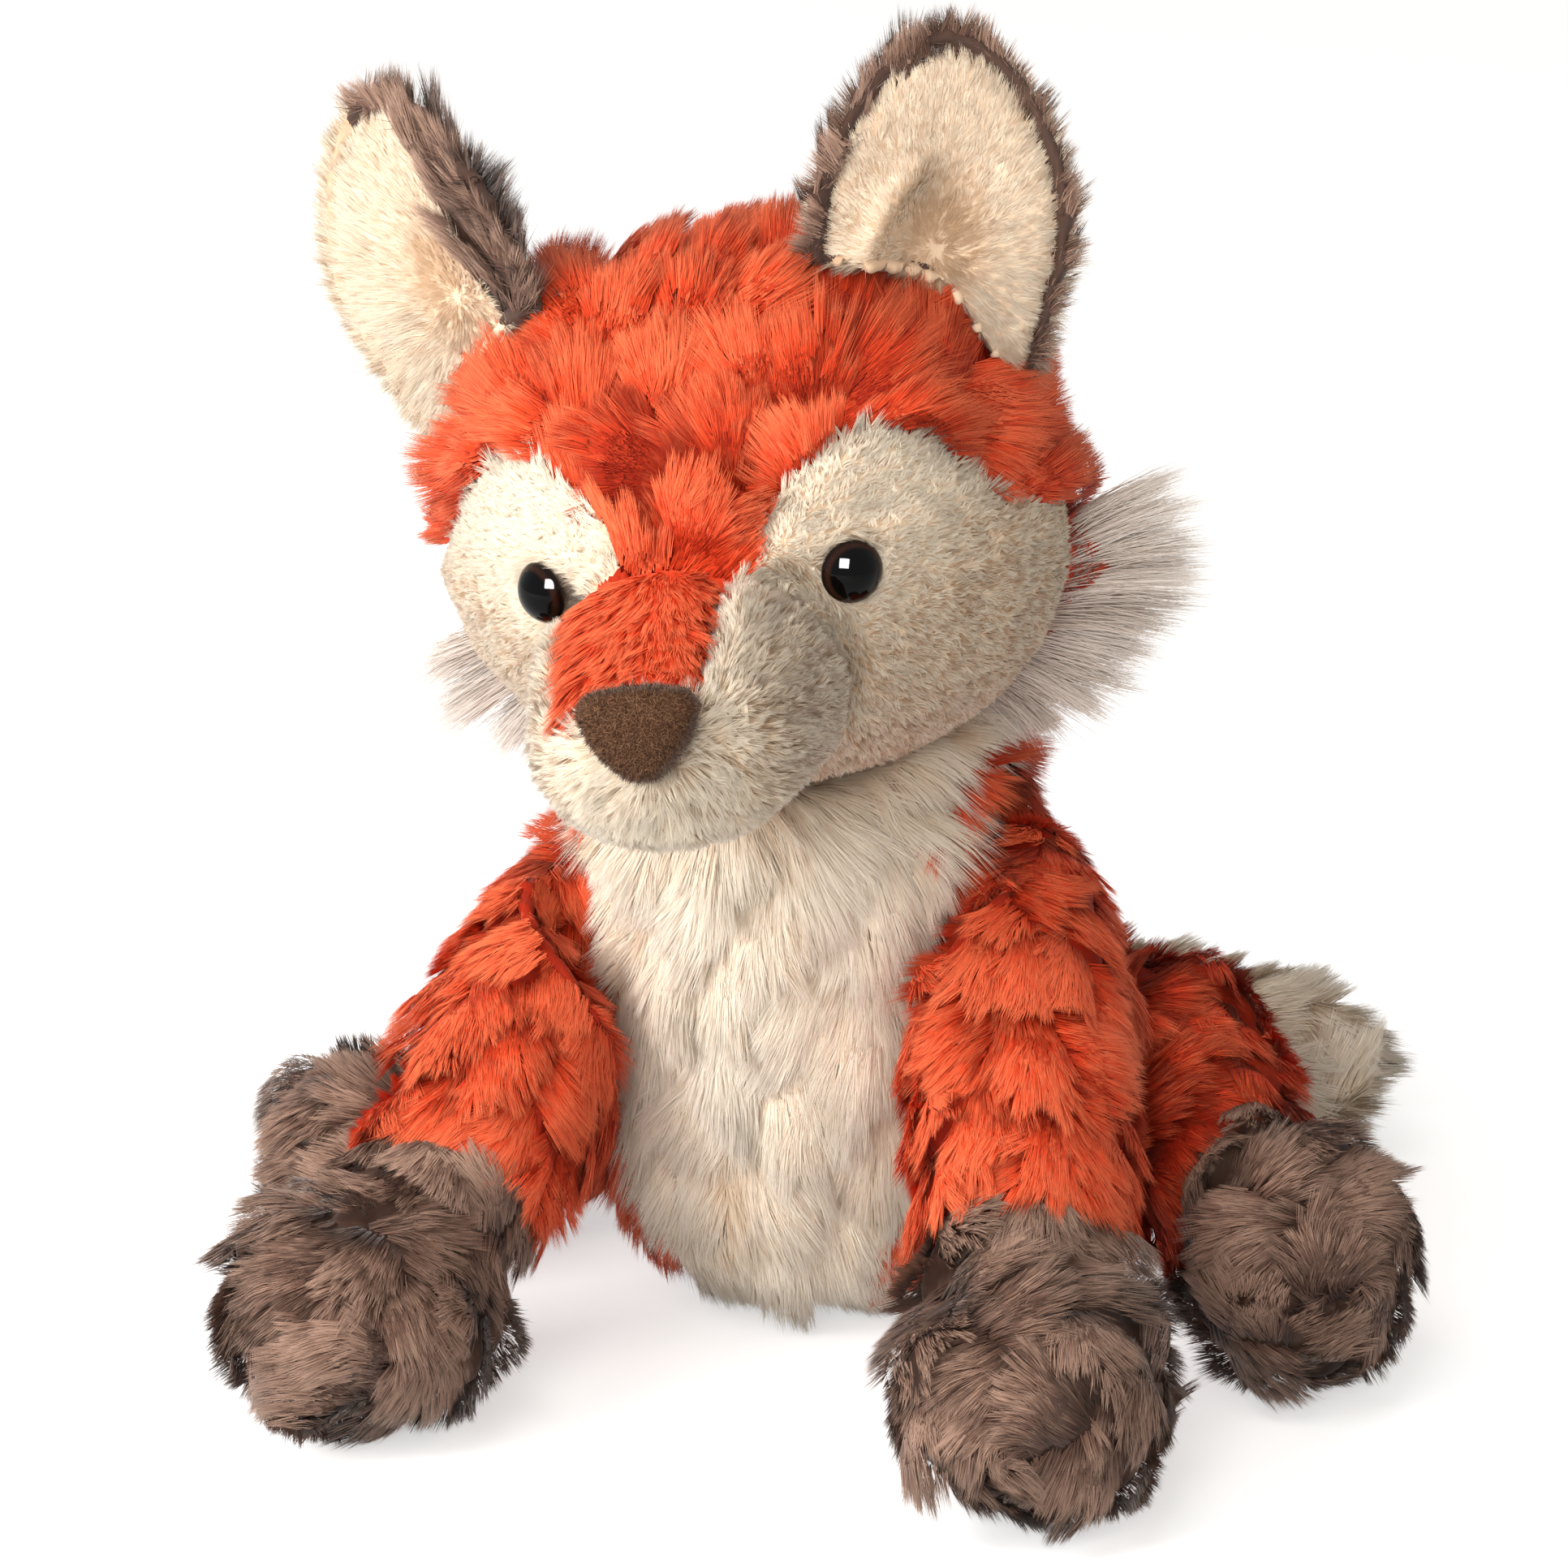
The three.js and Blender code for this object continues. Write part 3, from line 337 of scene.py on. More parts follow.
# One smooth closed form from the solids of several CAD nodes
def roundForm(nodes, voxel, passes):
    places, faces = joined([nodeArrays(name) for name in nodes])
    mesh = bpy.data.meshes.new("roundForm")
    mesh.from_pydata(places.tolist(), [], faces.tolist())
    thing = placed("roundForm", mesh)
    remesh = thing.modifiers.new("even", "REMESH")
    remesh.mode = "VOXEL"
    remesh.voxel_size = voxel * mm
    made = bpy.data.meshes.new_from_object(thing.evaluated_get(bpy.context.evaluated_depsgraph_get()))
    places, faces = biggestPart(*meshArrays(made))
    for data in (mesh, made):
        bpy.data.meshes.remove(data)
    return smoothed(places, edgesOf(faces), passes, (0.55, -0.5)), faces


# A place from where it is and how it turns
def posed(pose, within=Matrix.Identity(4)):
    turns = (("turn", "Z"), ("nod", "X"), ("tilt", "Y"))
    turn, nod, tilt = (Matrix.Rotation(math.radians(pose[name]), 4, axis) for name, axis in turns)
    return within @ Matrix.Translation(pose["at"]) @ (turn @ nod @ tilt)


def inFrame(matrix, places):
    back = np.array(matrix.inverted())
    return places @ back[:3, :3].T + back[:3, 3]


headForm = {"wide": 65.0, "deep": 54.0, "up": 60.0, "down": 54.0}  # half sizes, without the pile's length
headPlace = posed({"at": (-0.004, -0.028, 0.1715), "turn": 4.4, "nod": 12, "tilt": -8.8})
earPlaces = {
    "left": posed({"at": (0.0405, 0.002, 0.038), "turn": 22, "nod": -6, "tilt": 16}, headPlace),
    "right": posed({"at": (-0.0455, 0.002, 0.038), "turn": -26, "nod": -6, "tilt": -25}, headPlace),
}


def onHead(x, y, z):
    return np.array(headPlace @ Vector((x * mm, y * mm, z * mm)))


browPoint = onHead(0, -74, -8)
nosePoint = onHead(0, -92, 3)
parting = onHead(-6, -38, 36)  # where the pile of the nose bridge starts

# Pinched fold in an ear's lining: a ridge that rises from the base, with a hollow beside it
earFold = {"ridge": 2.6, "ridgeWidth": 3.2, "fromX": -15.0, "toX": -1.0, "fromZ": 4.0, "toZ": 34.0,
           "bendX": 1.6, "bendZ": 0.8, "steps": 24, "fadeFrom": 0.75,
           "hollow": 3.0, "hollowX": 1.0, "hollowZ": 20.0, "hollowWide": 8.0, "hollowTall": 15.0,
           "share": {"left": 1.0, "right": 0.45}}
earBury = {"from": 10.0, "deep": 8.0}  # the ear's base runs down into the crown's pile

# Where the ear's border lies: brown over the inner edge, lining round the outer one and at the base in front
earOver = {"inner": {"left": 0.0, "right": 6.0}, "innerEnds": (3, 13),
           "outer": {"left": 0.4, "right": 8.0}, "outerEnds": (3, 10),
           "base": 6.0, "baseX": (-17, -13), "baseY": (-1, 1), "baseZ": (-9, -3)}


def outward(side, places):
    return inFrame(earPlaces[side], places)[:, 0] / mm * (1 if side == "left" else -1)


def turnOver(side):
    def over(places):
        at = inFrame(earPlaces[side], places) / mm
        low = earOver["base"] * ramp(-at[:, 2], *earOver["baseZ"]) * ramp(-at[:, 1], *earOver["baseY"])
        low = low * ramp(-np.abs(at[:, 0]), *earOver["baseX"])
        inner = earOver["inner"][side] * ramp(-outward(side, places), *earOver["innerEnds"])
        outer = earOver["outer"][side] * ramp(outward(side, places), *earOver["outerEnds"])
        return (inner - outer - low) * mm

    return over


def foldEar(side):
    def shape(places, owner, inner, out):
        at = inFrame(earPlaces[side], places) / mm
        backward, upward = (np.array(earPlaces[side].to_3x3())[:, k] for k in (1, 2))
        turnX = 1 if side == "left" else -1
        s = np.linspace(0, 1, earFold["steps"])
        lineX = turnX * (earFold["fromX"] + (earFold["toX"] - earFold["fromX"]) * s ** earFold["bendX"])
        lineZ = earFold["fromZ"] + (earFold["toZ"] - earFold["fromZ"]) * s ** earFold["bendZ"]
        gap = np.linalg.norm(at[:, None, [0, 2]] - np.stack([lineX, lineZ], axis=1)[None], axis=2)
        fade = 1 - ramp(s[gap.argmin(axis=1)], earFold["fadeFrom"], 1.0)
        high = earFold["ridge"] * np.exp(-(gap.min(axis=1) / earFold["ridgeWidth"]) ** 2) * fade
        across = (at[:, 0] - turnX * earFold["hollowX"]) / earFold["hollowWide"]
        along = (at[:, 2] - earFold["hollowZ"]) / earFold["hollowTall"]
        high -= earFold["hollow"] * np.exp(-across ** 2 - along ** 2)
        folded = (high * earFold["share"][side] * (owner == 1) * mm)[:, None]
        low = -earBury["deep"] * ramp(-at[:, 2], -earBury["from"], 0)
        return places - backward * folded + upward * (low * mm)[:, None]

    return shape


# The muzzle stands out from the face as a soft bulb, but not where the nose sits on it
muzzleBulge = {"out": 3.4, "clearOf": 11.0, "fullAt": 21.0, "inside": (0.45, 0.95)}


def bulgeMuzzle(places, owner, inner, out):
    toNose = np.linalg.norm(places - nosePoint, axis=1) / mm
    clear = ramp(toNose, muzzleBulge["clearOf"], muzzleBulge["fullAt"])
    share = ramp(inner[:, skinPlan["head"]["panels"].index("muzzle")], *muzzleBulge["inside"])
    return places + out * (muzzleBulge["out"] * mm * share * clear)[:, None]


# The cream pile reaches further round the chest than its panel
chestReach = {"out": 6.0, "across": (12, 24), "high": (84, 98), "ahead": (-5, 5), "leftTop": (104, 110),
              "leftCut": 1.5}


def widerChest(places):
    x, y, z = places.T / mm
    cut = 1 - chestReach["leftCut"] * (x > 0) * ramp(z, *chestReach["leftTop"])
    high = ramp(z, *chestReach["high"]) * cut
    across, ahead = ramp(np.abs(x), *chestReach["across"]), ramp(-y, *chestReach["ahead"])
    return -chestReach["out"] * mm * across * high * ahead


# Each body's panels and stuffing, in order, with the voxel of its round form and how often that is smoothed
skinPlan = {
    "body": {"panels": ["torso_coat", "belly_panel"], "core": ["torso_stuffing"], "voxel": 2.6, "passes": 16,
             "over": widerChest, "relax": 14},
    "head": {"panels": ["crown_coat", "face_patch_left", "face_patch_right", "muzzle", "nose_bridge"],
             "core": ["head_stuffing"], "voxel": 1.7, "passes": 12, "shape": bulgeMuzzle},
}
for side in ("left", "right"):
    skinPlan["ear_" + side] = {"panels": ["ear_back_" + side, "ear_lining_" + side], "core": [], "voxel": 1.2,
                               "passes": 14, "shape": foldEar(side), "over": turnOver(side)}
for limb, upper, lower in (("arm", "sleeve", "forepaw"), ("leg", "thigh", "foot")):
    for side in ("left", "right"):
        skinPlan[limb + "_" + side] = {"panels": [upper + "_" + side, lower + "_" + side],
                                       "core": [limb + "_stuffing_" + side], "voxel": 2.4, "passes": 16}
skinPlan["tail"] = {"panels": ["tail_coat", "tail_tip"], "core": ["tail_stuffing"],
                    "voxel": 2.4, "passes": 16}

# How far the cloth lies under the CAD surface, which is the pile's: 5.2 mm but for these
longSink = 5.2
panelSink = {"face_patch": 2.0, "muzzle": 2.4, "nose_bridge": 4.6, "ear_back": 2.2, "ear_lining": 1.6}
seamGrooves = [("muzzle", "face_patch_left", 5.5), ("muzzle", "face_patch_right", 5.5),
               ("nose_bridge", "crown_coat", 2.0), ("muzzle", "nose_bridge", 1.0),
               ("crown_coat", "face_patch_left", 0.8), ("crown_coat", "face_patch_right", 0.8)]
clothCare = {"borderPasses": 10, "depthPasses": 12, "groovePasses": 2, "grooveFrom": 0.15, "evenPasses": 6,
             "foldedBelow": 0.7, "foldPasses": 6, "foldGain": 6}


# Where drawing the cloth in has folded it over, relaxing passes open it again
def relaxed(cloth, faces, out, passes):
    edges = edgesOf(faces)
    folded = (vertexNormals(cloth, faces) * out).sum(axis=1) < clothCare["foldedBelow"]
    folded = smoothed(folded.astype(float), edges, clothCare["foldPasses"])
    for _ in range(passes):
        cloth += (smoothed(cloth, edges, 2) - cloth) * np.clip(folded * clothCare["foldGain"], 0, 1)[:, None]
    return cloth


# A body's cloth: the round form drawn in by the depth of each panel's pile, and more along its seams
def makeSkin(body, plan):
    panels = plan["panels"]
    places, faces = roundForm(panels + plan["core"], plan["voxel"], plan["passes"])
    edges = edgesOf(faces)
    trees = [treeOf(*nodeArrays(name)) for name in panels]
    far = np.array([[tree.find_nearest(p)[3] for tree in trees] for p in places.tolist()])
    if "over" in plan:
        far[:, 1] += plan["over"](places)
    owner = far.argmin(axis=1)
    owned = [(owner == k).astype(float) for k in range(len(panels))]
    inner = np.stack([smoothed(values, edges, clothCare["borderPasses"]) for values in owned], axis=1)
    kinds = (name.removesuffix("_left").removesuffix("_right") for name in panels)
    sink = np.array([panelSink.get(kind, longSink) for kind in kinds])
    depth = smoothed(sink[owner] * mm, edges, clothCare["depthPasses"])
    for a, b, deep in seamGrooves if body == "head" else ():
        both = inner[:, panels.index(a)] * inner[:, panels.index(b)] * 4
        groove = smoothed(ramp(both, clothCare["grooveFrom"], 1.0), edges, clothCare["groovePasses"])
        depth += groove * deep * mm
    out = vertexNormals(places, faces)
    cloth = smoothed(places - out * depth[:, None], edges, clothCare["evenPasses"], (0.5, -0.45))
    if "relax" in plan:
        cloth = relaxed(cloth, faces, out, plan["relax"])
    if "shape" in plan:
        cloth = plan["shape"](cloth, owner, inner, out)
    return {"body": body, "panels": panels, "places": cloth, "faces": faces,
            "normals": vertexNormals(cloth, faces), "owner": inner.argmax(axis=1), "inner": inner}


skins = {body: makeSkin(body, plan) for body, plan in skinPlan.items()}
print("cloth forms made")

# The body's top rises to meet the head, so that no gap shows at the neck
neckRise = {"reach": 20.0, "leave": 4.5, "most": 9.0, "facingUp": 0.25, "passes": 6}


def riseToHead(skin, head):
    tree = treeOf(head["places"], head["faces"])
    rise = np.zeros(len(skin["places"]))
    for i, (place, out) in enumerate(zip(skin["places"].tolist(), skin["normals"].tolist())):
        if out[2] > neckRise["facingUp"]:
            far = tree.ray_cast(place, out, neckRise["reach"] * mm)[3]
            rise[i] = 0 if far is None else min(max(far / mm - neckRise["leave"], 0), neckRise["most"])
    rise = smoothed(rise, edgesOf(skin["faces"]), neckRise["passes"])
    skin["places"] = skin["places"] + skin["normals"] * (rise * mm)[:, None]
    skin["normals"] = vertexNormals(skin["places"], skin["faces"])


riseToHead(skins["body"], skins["head"])

# How far each point of the cloth is from the next body's cloth or the floor, straight out
roomLook = {"reach": 16.0, "facingDown": 0.2, "passes": 3}
sewn = {"head": ("ear_left", "ear_right"), "ear_left": ("head",), "ear_right": ("head",)}


def findRoom(skin):
    apart = [s for s in skins.values() if s is not skin and s["body"] not in sewn.get(skin["body"], ())]
    tree = treeOf(*joined([(other["places"], other["faces"]) for other in apart]))
    reach = roomLook["reach"] * mm
    room = np.full(len(skin["places"]), reach)
    for i, (place, out) in enumerate(zip(skin["places"].tolist(), skin["normals"].tolist())):
        hit = tree.ray_cast(place, out, reach)
        if hit[0] is not None:
            room[i] = hit[3] / 2
        if out[2] < -roomLook["facingDown"]:
            room[i] = min(room[i], max(place[2], 0) / -out[2])
    skin["room"] = smoothed(room, edgesOf(skin["faces"]), roomLook["passes"])


for skin in skins.values():
    findRoom(skin)
print("room between bodies measured")


# Which way the pile is combed: away from a point, with a share of one fixed direction
def combed(centre, away=1.0, pull=(0, 0, 0)):
    centre, pull = np.array(centre), np.array(pull, dtype=float)

    def flow(places, out):
        way = unit(places - centre) * away + pull
        way -= out * (way * out).sum(1, keepdims=True)
        short = np.linalg.norm(way, axis=1) < 0.15
        side = np.cross(out, np.array([0.3, 0.2, 0.9]))
        way[short] += 0.15 * side[short]
        return unit(way)

    return flow


def turned(way, out, angle):
    return way * np.cos(angle)[:, None] + np.cross(out, way) * np.sin(angle)[:, None]


# Points kept so that none is nearer to another than an uneven gap
def spaced(places, gap, rng):
    tree = pointTree(places)
    free = np.ones(len(places), dtype=bool)
    gaps = gap * rng.uniform(0.7, 1.3, len(places))
    kept = []
    for i, p in enumerate(places.tolist()):
        if free[i]:
            kept.append(i)
            for _, j, _ in tree.find_range(p, gaps[i]):
                free[j] = False
    return np.array(kept, dtype=np.int64)


# What a fibre's marks say: its tone, a little more or less at its sides, and 0 to 1 along it
fibreMarks = {"aside": 0.012, "start": 0.004, "end": 0.996}


# Long fibres as thin folded blades: rings of three points, ridge outward, and a tip
def fibreMesh(root, control, tip, out, width, tone, rings, flat, soften):
    count = len(root)
    verts, uvs, normals = [], [], []
    spots = np.linspace(0, 1, rings, endpoint=False)
    for t, thin in zip(spots, (1 - spots) ** 0.55):
        centre = (1 - t) ** 2 * root + 2 * t * (1 - t) * control + t * t * tip
        along = unit((1 - t) * (control - root) + t * (tip - control) + 1e-9)
        side = unit(np.cross(along, out))
        up = np.cross(side, along)
        for j, ray in enumerate((side, up * flat, -side)):
            verts.append(centre + ray * (width * thin / 2)[:, None])
            reached = np.full(count, t + fibreMarks["start"])
            uvs.append(np.stack([tone + (j - 1) * fibreMarks["aside"], reached], axis=1))
            normals.append(unit(unit(ray) * (1 - soften) + out * soften))
    verts.append(tip)
    uvs.append(np.stack([tone, np.full(count, fibreMarks["end"])], axis=1))
    normals.append(unit(out * (0.4 + soften) + unit(tip - root) * 0.3))
    size = rings * 3 + 1
    faces = []
    for r in range(rings):
        for a in (r * 3, r * 3 + 1):
            if r < rings - 1:
                faces += [(a, a + 3, a + 4), (a, a + 4, a + 1)]
            else:
                faces.append((a, size - 1, a + 1))
    places = np.stack(verts, axis=1).reshape(-1, 3)
    marks = np.stack(uvs, axis=1).reshape(-1, 2)
    shades = np.stack(normals, axis=1).reshape(-1, 3)
    corners = (np.array(faces)[None] + (np.arange(count) * size)[:, None, None]).reshape(-1, 3)
    return places, corners, marks, shades


# Short fibres as single slim triangles, each rolled a little about its own length
def bladeMesh(root, tip, out, face, width, tone, start, roll):
    count = len(root)
    along = unit(tip - root)
    side = unit(np.cross(along, out))
    up = np.cross(side, along)
    across = side * np.cos(roll)[:, None] + up * np.sin(roll)[:, None]
    half = across * (width / 2)[:, None]
    places = np.stack([root + half, tip, root - half], axis=1).reshape(-1, 3)
    low, high = np.full(count, start), np.full(count, fibreMarks["end"])
    aside = fibreMarks["aside"]
    marks = [np.stack(pair, axis=1) for pair in ((tone - aside, low), (tone, high), (tone + aside, low))]
    marks = np.stack(marks, axis=1).reshape(-1, 2)
    shades = np.stack([unit(face + side * 0.45), unit(face + along * 0.35), unit(face - side * 0.45)], axis=1)
    return places, np.arange(count * 3).reshape(-1, 3), marks, shades.reshape(-1, 3)


# Each face split in four, with every list of values carried over to the new points
def splitOnce(lists, faces, size):
    pairs, which = np.unique(np.sort(halfEdges(faces), axis=1), axis=0, return_inverse=True)
    ab, bc, ca = which.reshape(3, -1) + size
    more = [(values[pairs[:, 0]] + values[pairs[:, 1]]) / 2 for values in lists]
    a, b, c = faces.T
    fine = [np.stack(corners, axis=1) for corners in ((a, ab, ca), (ab, b, bc), (ca, bc, c), (ab, bc, ca))]
    return [np.concatenate([values, extra]) for values, extra in zip(lists, more)], np.concatenate(fine)


# The panel's cloth under the pile, as a closed sheet raised into the tufts' relief. Its colour is painted
# shade: it takes colours near the fibres' dark root, and lighter ones where it is raised
sheet = {"thick": 1.0, "floor": 0.5, "toneFrom": 0.25, "toneSpan": 0.5, "toneDepth": 0.7, "levelSpan": 0.05,
         "levelHigh": 0.1, "highAt": 3.0}


def clothMesh(skin, panel, heightOf, level):
    near = (skin["owner"][skin["faces"]] == panel).any(axis=1)
    used, corners = np.unique(skin["faces"][near], return_inverse=True)
    lists = [skin["places"][used], skin["normals"][used], skin["room"][used][:, None], skin["inner"][used]]
    (top, out, room, inner), corners = splitOnce(lists, corners.reshape(-1, 3), len(used))
    keep = inner[corners].sum(axis=1).argmax(axis=1) == panel
    used, corners = np.unique(corners[keep], return_inverse=True)
    corners = corners.reshape(-1, 3)
    top, out, room, inner = top[used], unit(out[used]), room[used, 0], inner[used, panel]
    tall = heightOf(top, room, inner)
    count = len(top)
    edges = halfEdges(corners)
    code = edges[:, 0].astype(np.int64) * count + edges[:, 1]
    back = edges[:, 1].astype(np.int64) * count + edges[:, 0]
    a, b = edges[~np.isin(code, back)].T
    walls = np.concatenate([np.stack([b, a, a + count], axis=1), np.stack([b, a + count, b + count], axis=1)])
    raised = top + out * tall[:, None]
    raised[:, 2] = np.maximum(raised[:, 2], sheet["floor"] * mm)
    shades = vertexNormals(raised, corners)
    places = np.concatenate([raised, top - out * (sheet["thick"] * mm)])
    faces = np.concatenate([corners, corners[:, ::-1] + count, walls])
    spread = places[:, [0, 2]] - places[:, [0, 2]].min(axis=0)
    spread /= max(spread.max(), 1e-6)
    tone = sheet["toneFrom"] + sheet["toneSpan"] * spread[:, 0] + places[:, 1] * sheet["toneDepth"]
    marks = np.stack([tone, level + sheet["levelSpan"] * spread[:, 1]], axis=1)
    # Painted shade: the cloth is lighter where it is raised, and keeps the dark root colour low down between
    # the tufts
    marks[:count, 1] += sheet["levelHigh"] * np.clip(tall / (sheet["highAt"] * mm), 0, 1)
    return places, faces, marks, np.concatenate([shades, -out])


def meshFrom(name, parts, material):
    places, faces, marks, shades = joined(parts)
    mesh = bpy.data.meshes.new(name)
    mesh.vertices.add(len(places))
    mesh.vertices.foreach_set("co", places.astype(np.float32).ravel())
    mesh.loops.add(len(faces) * 3)
    mesh.loops.foreach_set("vertex_index", faces.astype(np.int32).ravel())
    mesh.polygons.add(len(faces))
    mesh.polygons.foreach_set("loop_start", np.arange(0, len(faces) * 3, 3, dtype=np.int32))
    mesh.update(calc_edges=True)
    layer = mesh.uv_layers.new(name=markLayer)
    layer.data.foreach_set("uv", marks[faces.ravel()].astype(np.float32).ravel())
    custom = mesh.attributes.new("custom_normal", "FLOAT_VECTOR", "POINT")
    custom.data.foreach_set("vector", shades.astype(np.float32).ravel())
    mesh.materials.append(material)
    return placed(name, mesh)


# What all laid pile shares: rooted under the cloth, held off the floor and off the next body
laid = {"rooted": 0.3, "floor": 0.3, "floorSpread": 0.8, "roomShare": 0.85, "leastRoom": 2.4,
        "leastShort": 0.8, "leastSqueeze": 0.4, "widthSpread": 0.2, "least": 0.03, "most": 0.97}


# Random points on one panel, fewer where the next body's cloth is close
def panelPoints(skin, panel, density, rng):
    faces = skin["faces"]
    chosen = faces[(skin["owner"][faces] == panel).any(axis=1)]
    a, b, c = (skin["places"][chosen[:, k]] for k in range(3))
    area = np.linalg.norm(np.cross(b - a, c - a), axis=1) / 2
    count = int(area.sum() / (mm * mm) * density)
    pick = rng.choice(len(chosen), count, p=area / area.sum())
    u, v = rng.random(count), rng.random(count)
    over = u + v > 1
    u[over], v[over] = 1 - u[over], 1 - v[over]
    shares = np.stack([1 - u - v, u, v], axis=1)

    def spread(values):
        weights = shares[:, :, None] if values.ndim > 1 else shares
        return sum(values[chosen[pick, k]] * weights[:, k] for k in range(3))

    root, out, room, inner = (spread(skin[name]) for name in ("places", "normals", "room", "inner"))
    ok = (inner.argmax(axis=1) == panel) & (rng.random(count) < np.clip(room / (3.5 * mm), 0.4, 1))
    return root[ok], unit(out)[ok], room[ok], inner[ok, panel]


# Tufts: each rises along its own way and ends in a shelf over the next
class Tufts:
    def __init__(self, root, out, look, flow, rng):
        self.look = look
        some = rng.permutation(len(root))[:max(int(len(root) / look["density"] * 0.4), 40)]
        centre = some[spaced(self.near(root[some]), look["tuftGap"] * mm, rng)]
        self.place, self.out, self.spot = root[centre], out[centre], self.near(root[centre])
        count = len(centre)
        self.turn = rng.normal(0, math.radians(look["turn"]), count)
        self.way = turned(flow(self.place, self.out), self.out, self.turn)
        self.side = np.cross(self.out, self.way)
        self.rise = np.clip(1 + rng.normal(0, 0.3, count), 0.35, 1.6)
        self.lift = np.clip(1 + rng.normal(0, look["liftSpread"], count), 0.4, 1.7)
        self.shade = rng.normal(0, look["toneSpread"], count)

    # Places drawn together along one way, which leaves the tufts longer along it
    def near(self, points):
        if "long" not in self.look:
            return points
        way = np.array(self.look["long"]) / np.linalg.norm(self.look["long"])
        return points - (points @ way)[:, None] * way * self.look["drawn"]

    # How far ahead and aside of its tuft's middle each point is, and how high the tuft is there
    def at(self, points, which):
        off = (self.near(points) - self.spot[which]) / (self.look["tuftGap"] * mm * 0.6)
        ahead = np.clip((off * self.way[which]).sum(1), -1.2, 1.2)
        aside = np.clip((off * self.side[which]).sum(1), -1.2, 1.2)
        high = self.look["rise"] * mm * self.rise[which] * ramp(ahead, -1.0, 0.6) * (1 - 0.55 * aside ** 2)
        return ahead, aside, high

    # The cloth under the tufts drops before each shelf, so that only fibres hang over it
    def cloth(self, points, room, inner):
        ahead, _, high = self.at(points, lookUp(self.near(points), self.spot))
        high *= 0.75 * (1 - 0.7 * ramp(ahead, 0.15, 0.85)) * ramp(inner, 0.5, 0.85)
        return np.minimum(high, np.maximum(room * 0.5, 0)) - 0.9 * mm


# Fibres gathered in strands, strands in locks and locks in bunches, each with its share of every variation
class Gathered:
    def __init__(self, root, look, rng):
        count = len(root)
        self.rng, self.count = rng, count
        strandCount = int(count / (look["density"] * look["strandGap"] ** 2))
        self.strands = rng.permutation(count)[:max(strandCount, 8)]
        lockCount = int(len(self.strands) * (look["strandGap"] / look["lockGap"]) ** 2)
        self.locks = self.strands[:max(lockCount, 5)]
        bunchCount = int(len(self.locks) * (look["lockGap"] / look["bunchGap"]) ** 2)
        self.bunches = self.locks[:max(bunchCount, 3)]
        self.strandOf = lookUp(root, root[self.strands])
        self.lockOf = lookUp(root[self.strands], root[self.locks])
        self.bunchOf = lookUp(root[self.locks], root[self.bunches])
        self.lock = self.lockOf[self.strandOf]

    def vary(self, bunch=0.0, lock=0.0, strand=0.0, own=0.0):
        ofBunch = self.rng.normal(0, bunch, len(self.bunches))
        ofLock = ofBunch[self.bunchOf] + self.rng.normal(0, lock, len(self.locks))
        ofStrand = ofLock[self.lockOf] + self.rng.normal(0, strand, len(self.strands))
        return ofStrand[self.strandOf] + self.rng.normal(0, own, self.count)

    def pulled(self, tip, strandPull, lockPull):
        tip = tip + (meanBy(self.lock, tip, len(self.locks))[self.lock] - tip) * lockPull
        near = meanBy(self.strandOf, tip, len(self.strands))[self.strandOf]
        return tip + (near - tip) * (strandPull * self.rng.uniform(0.4, 1.3, self.count))[:, None]


def tipOf(start, out, way, lift, size):
    return start + (out * lift[:, None] + way * np.sqrt(1 - lift ** 2)[:, None]) * size[:, None]


def widths(look, count, rng):
    return look["width"] * mm * np.clip(1 + rng.normal(0, laid["widthSpread"], count), 0.4, 1.8)


def clearOfFloor(points, rng):
    spread = rng.random(len(points)) * laid["floorSpread"] * mm
    points[:, 2] = np.maximum(points[:, 2], laid["floor"] * mm + spread)


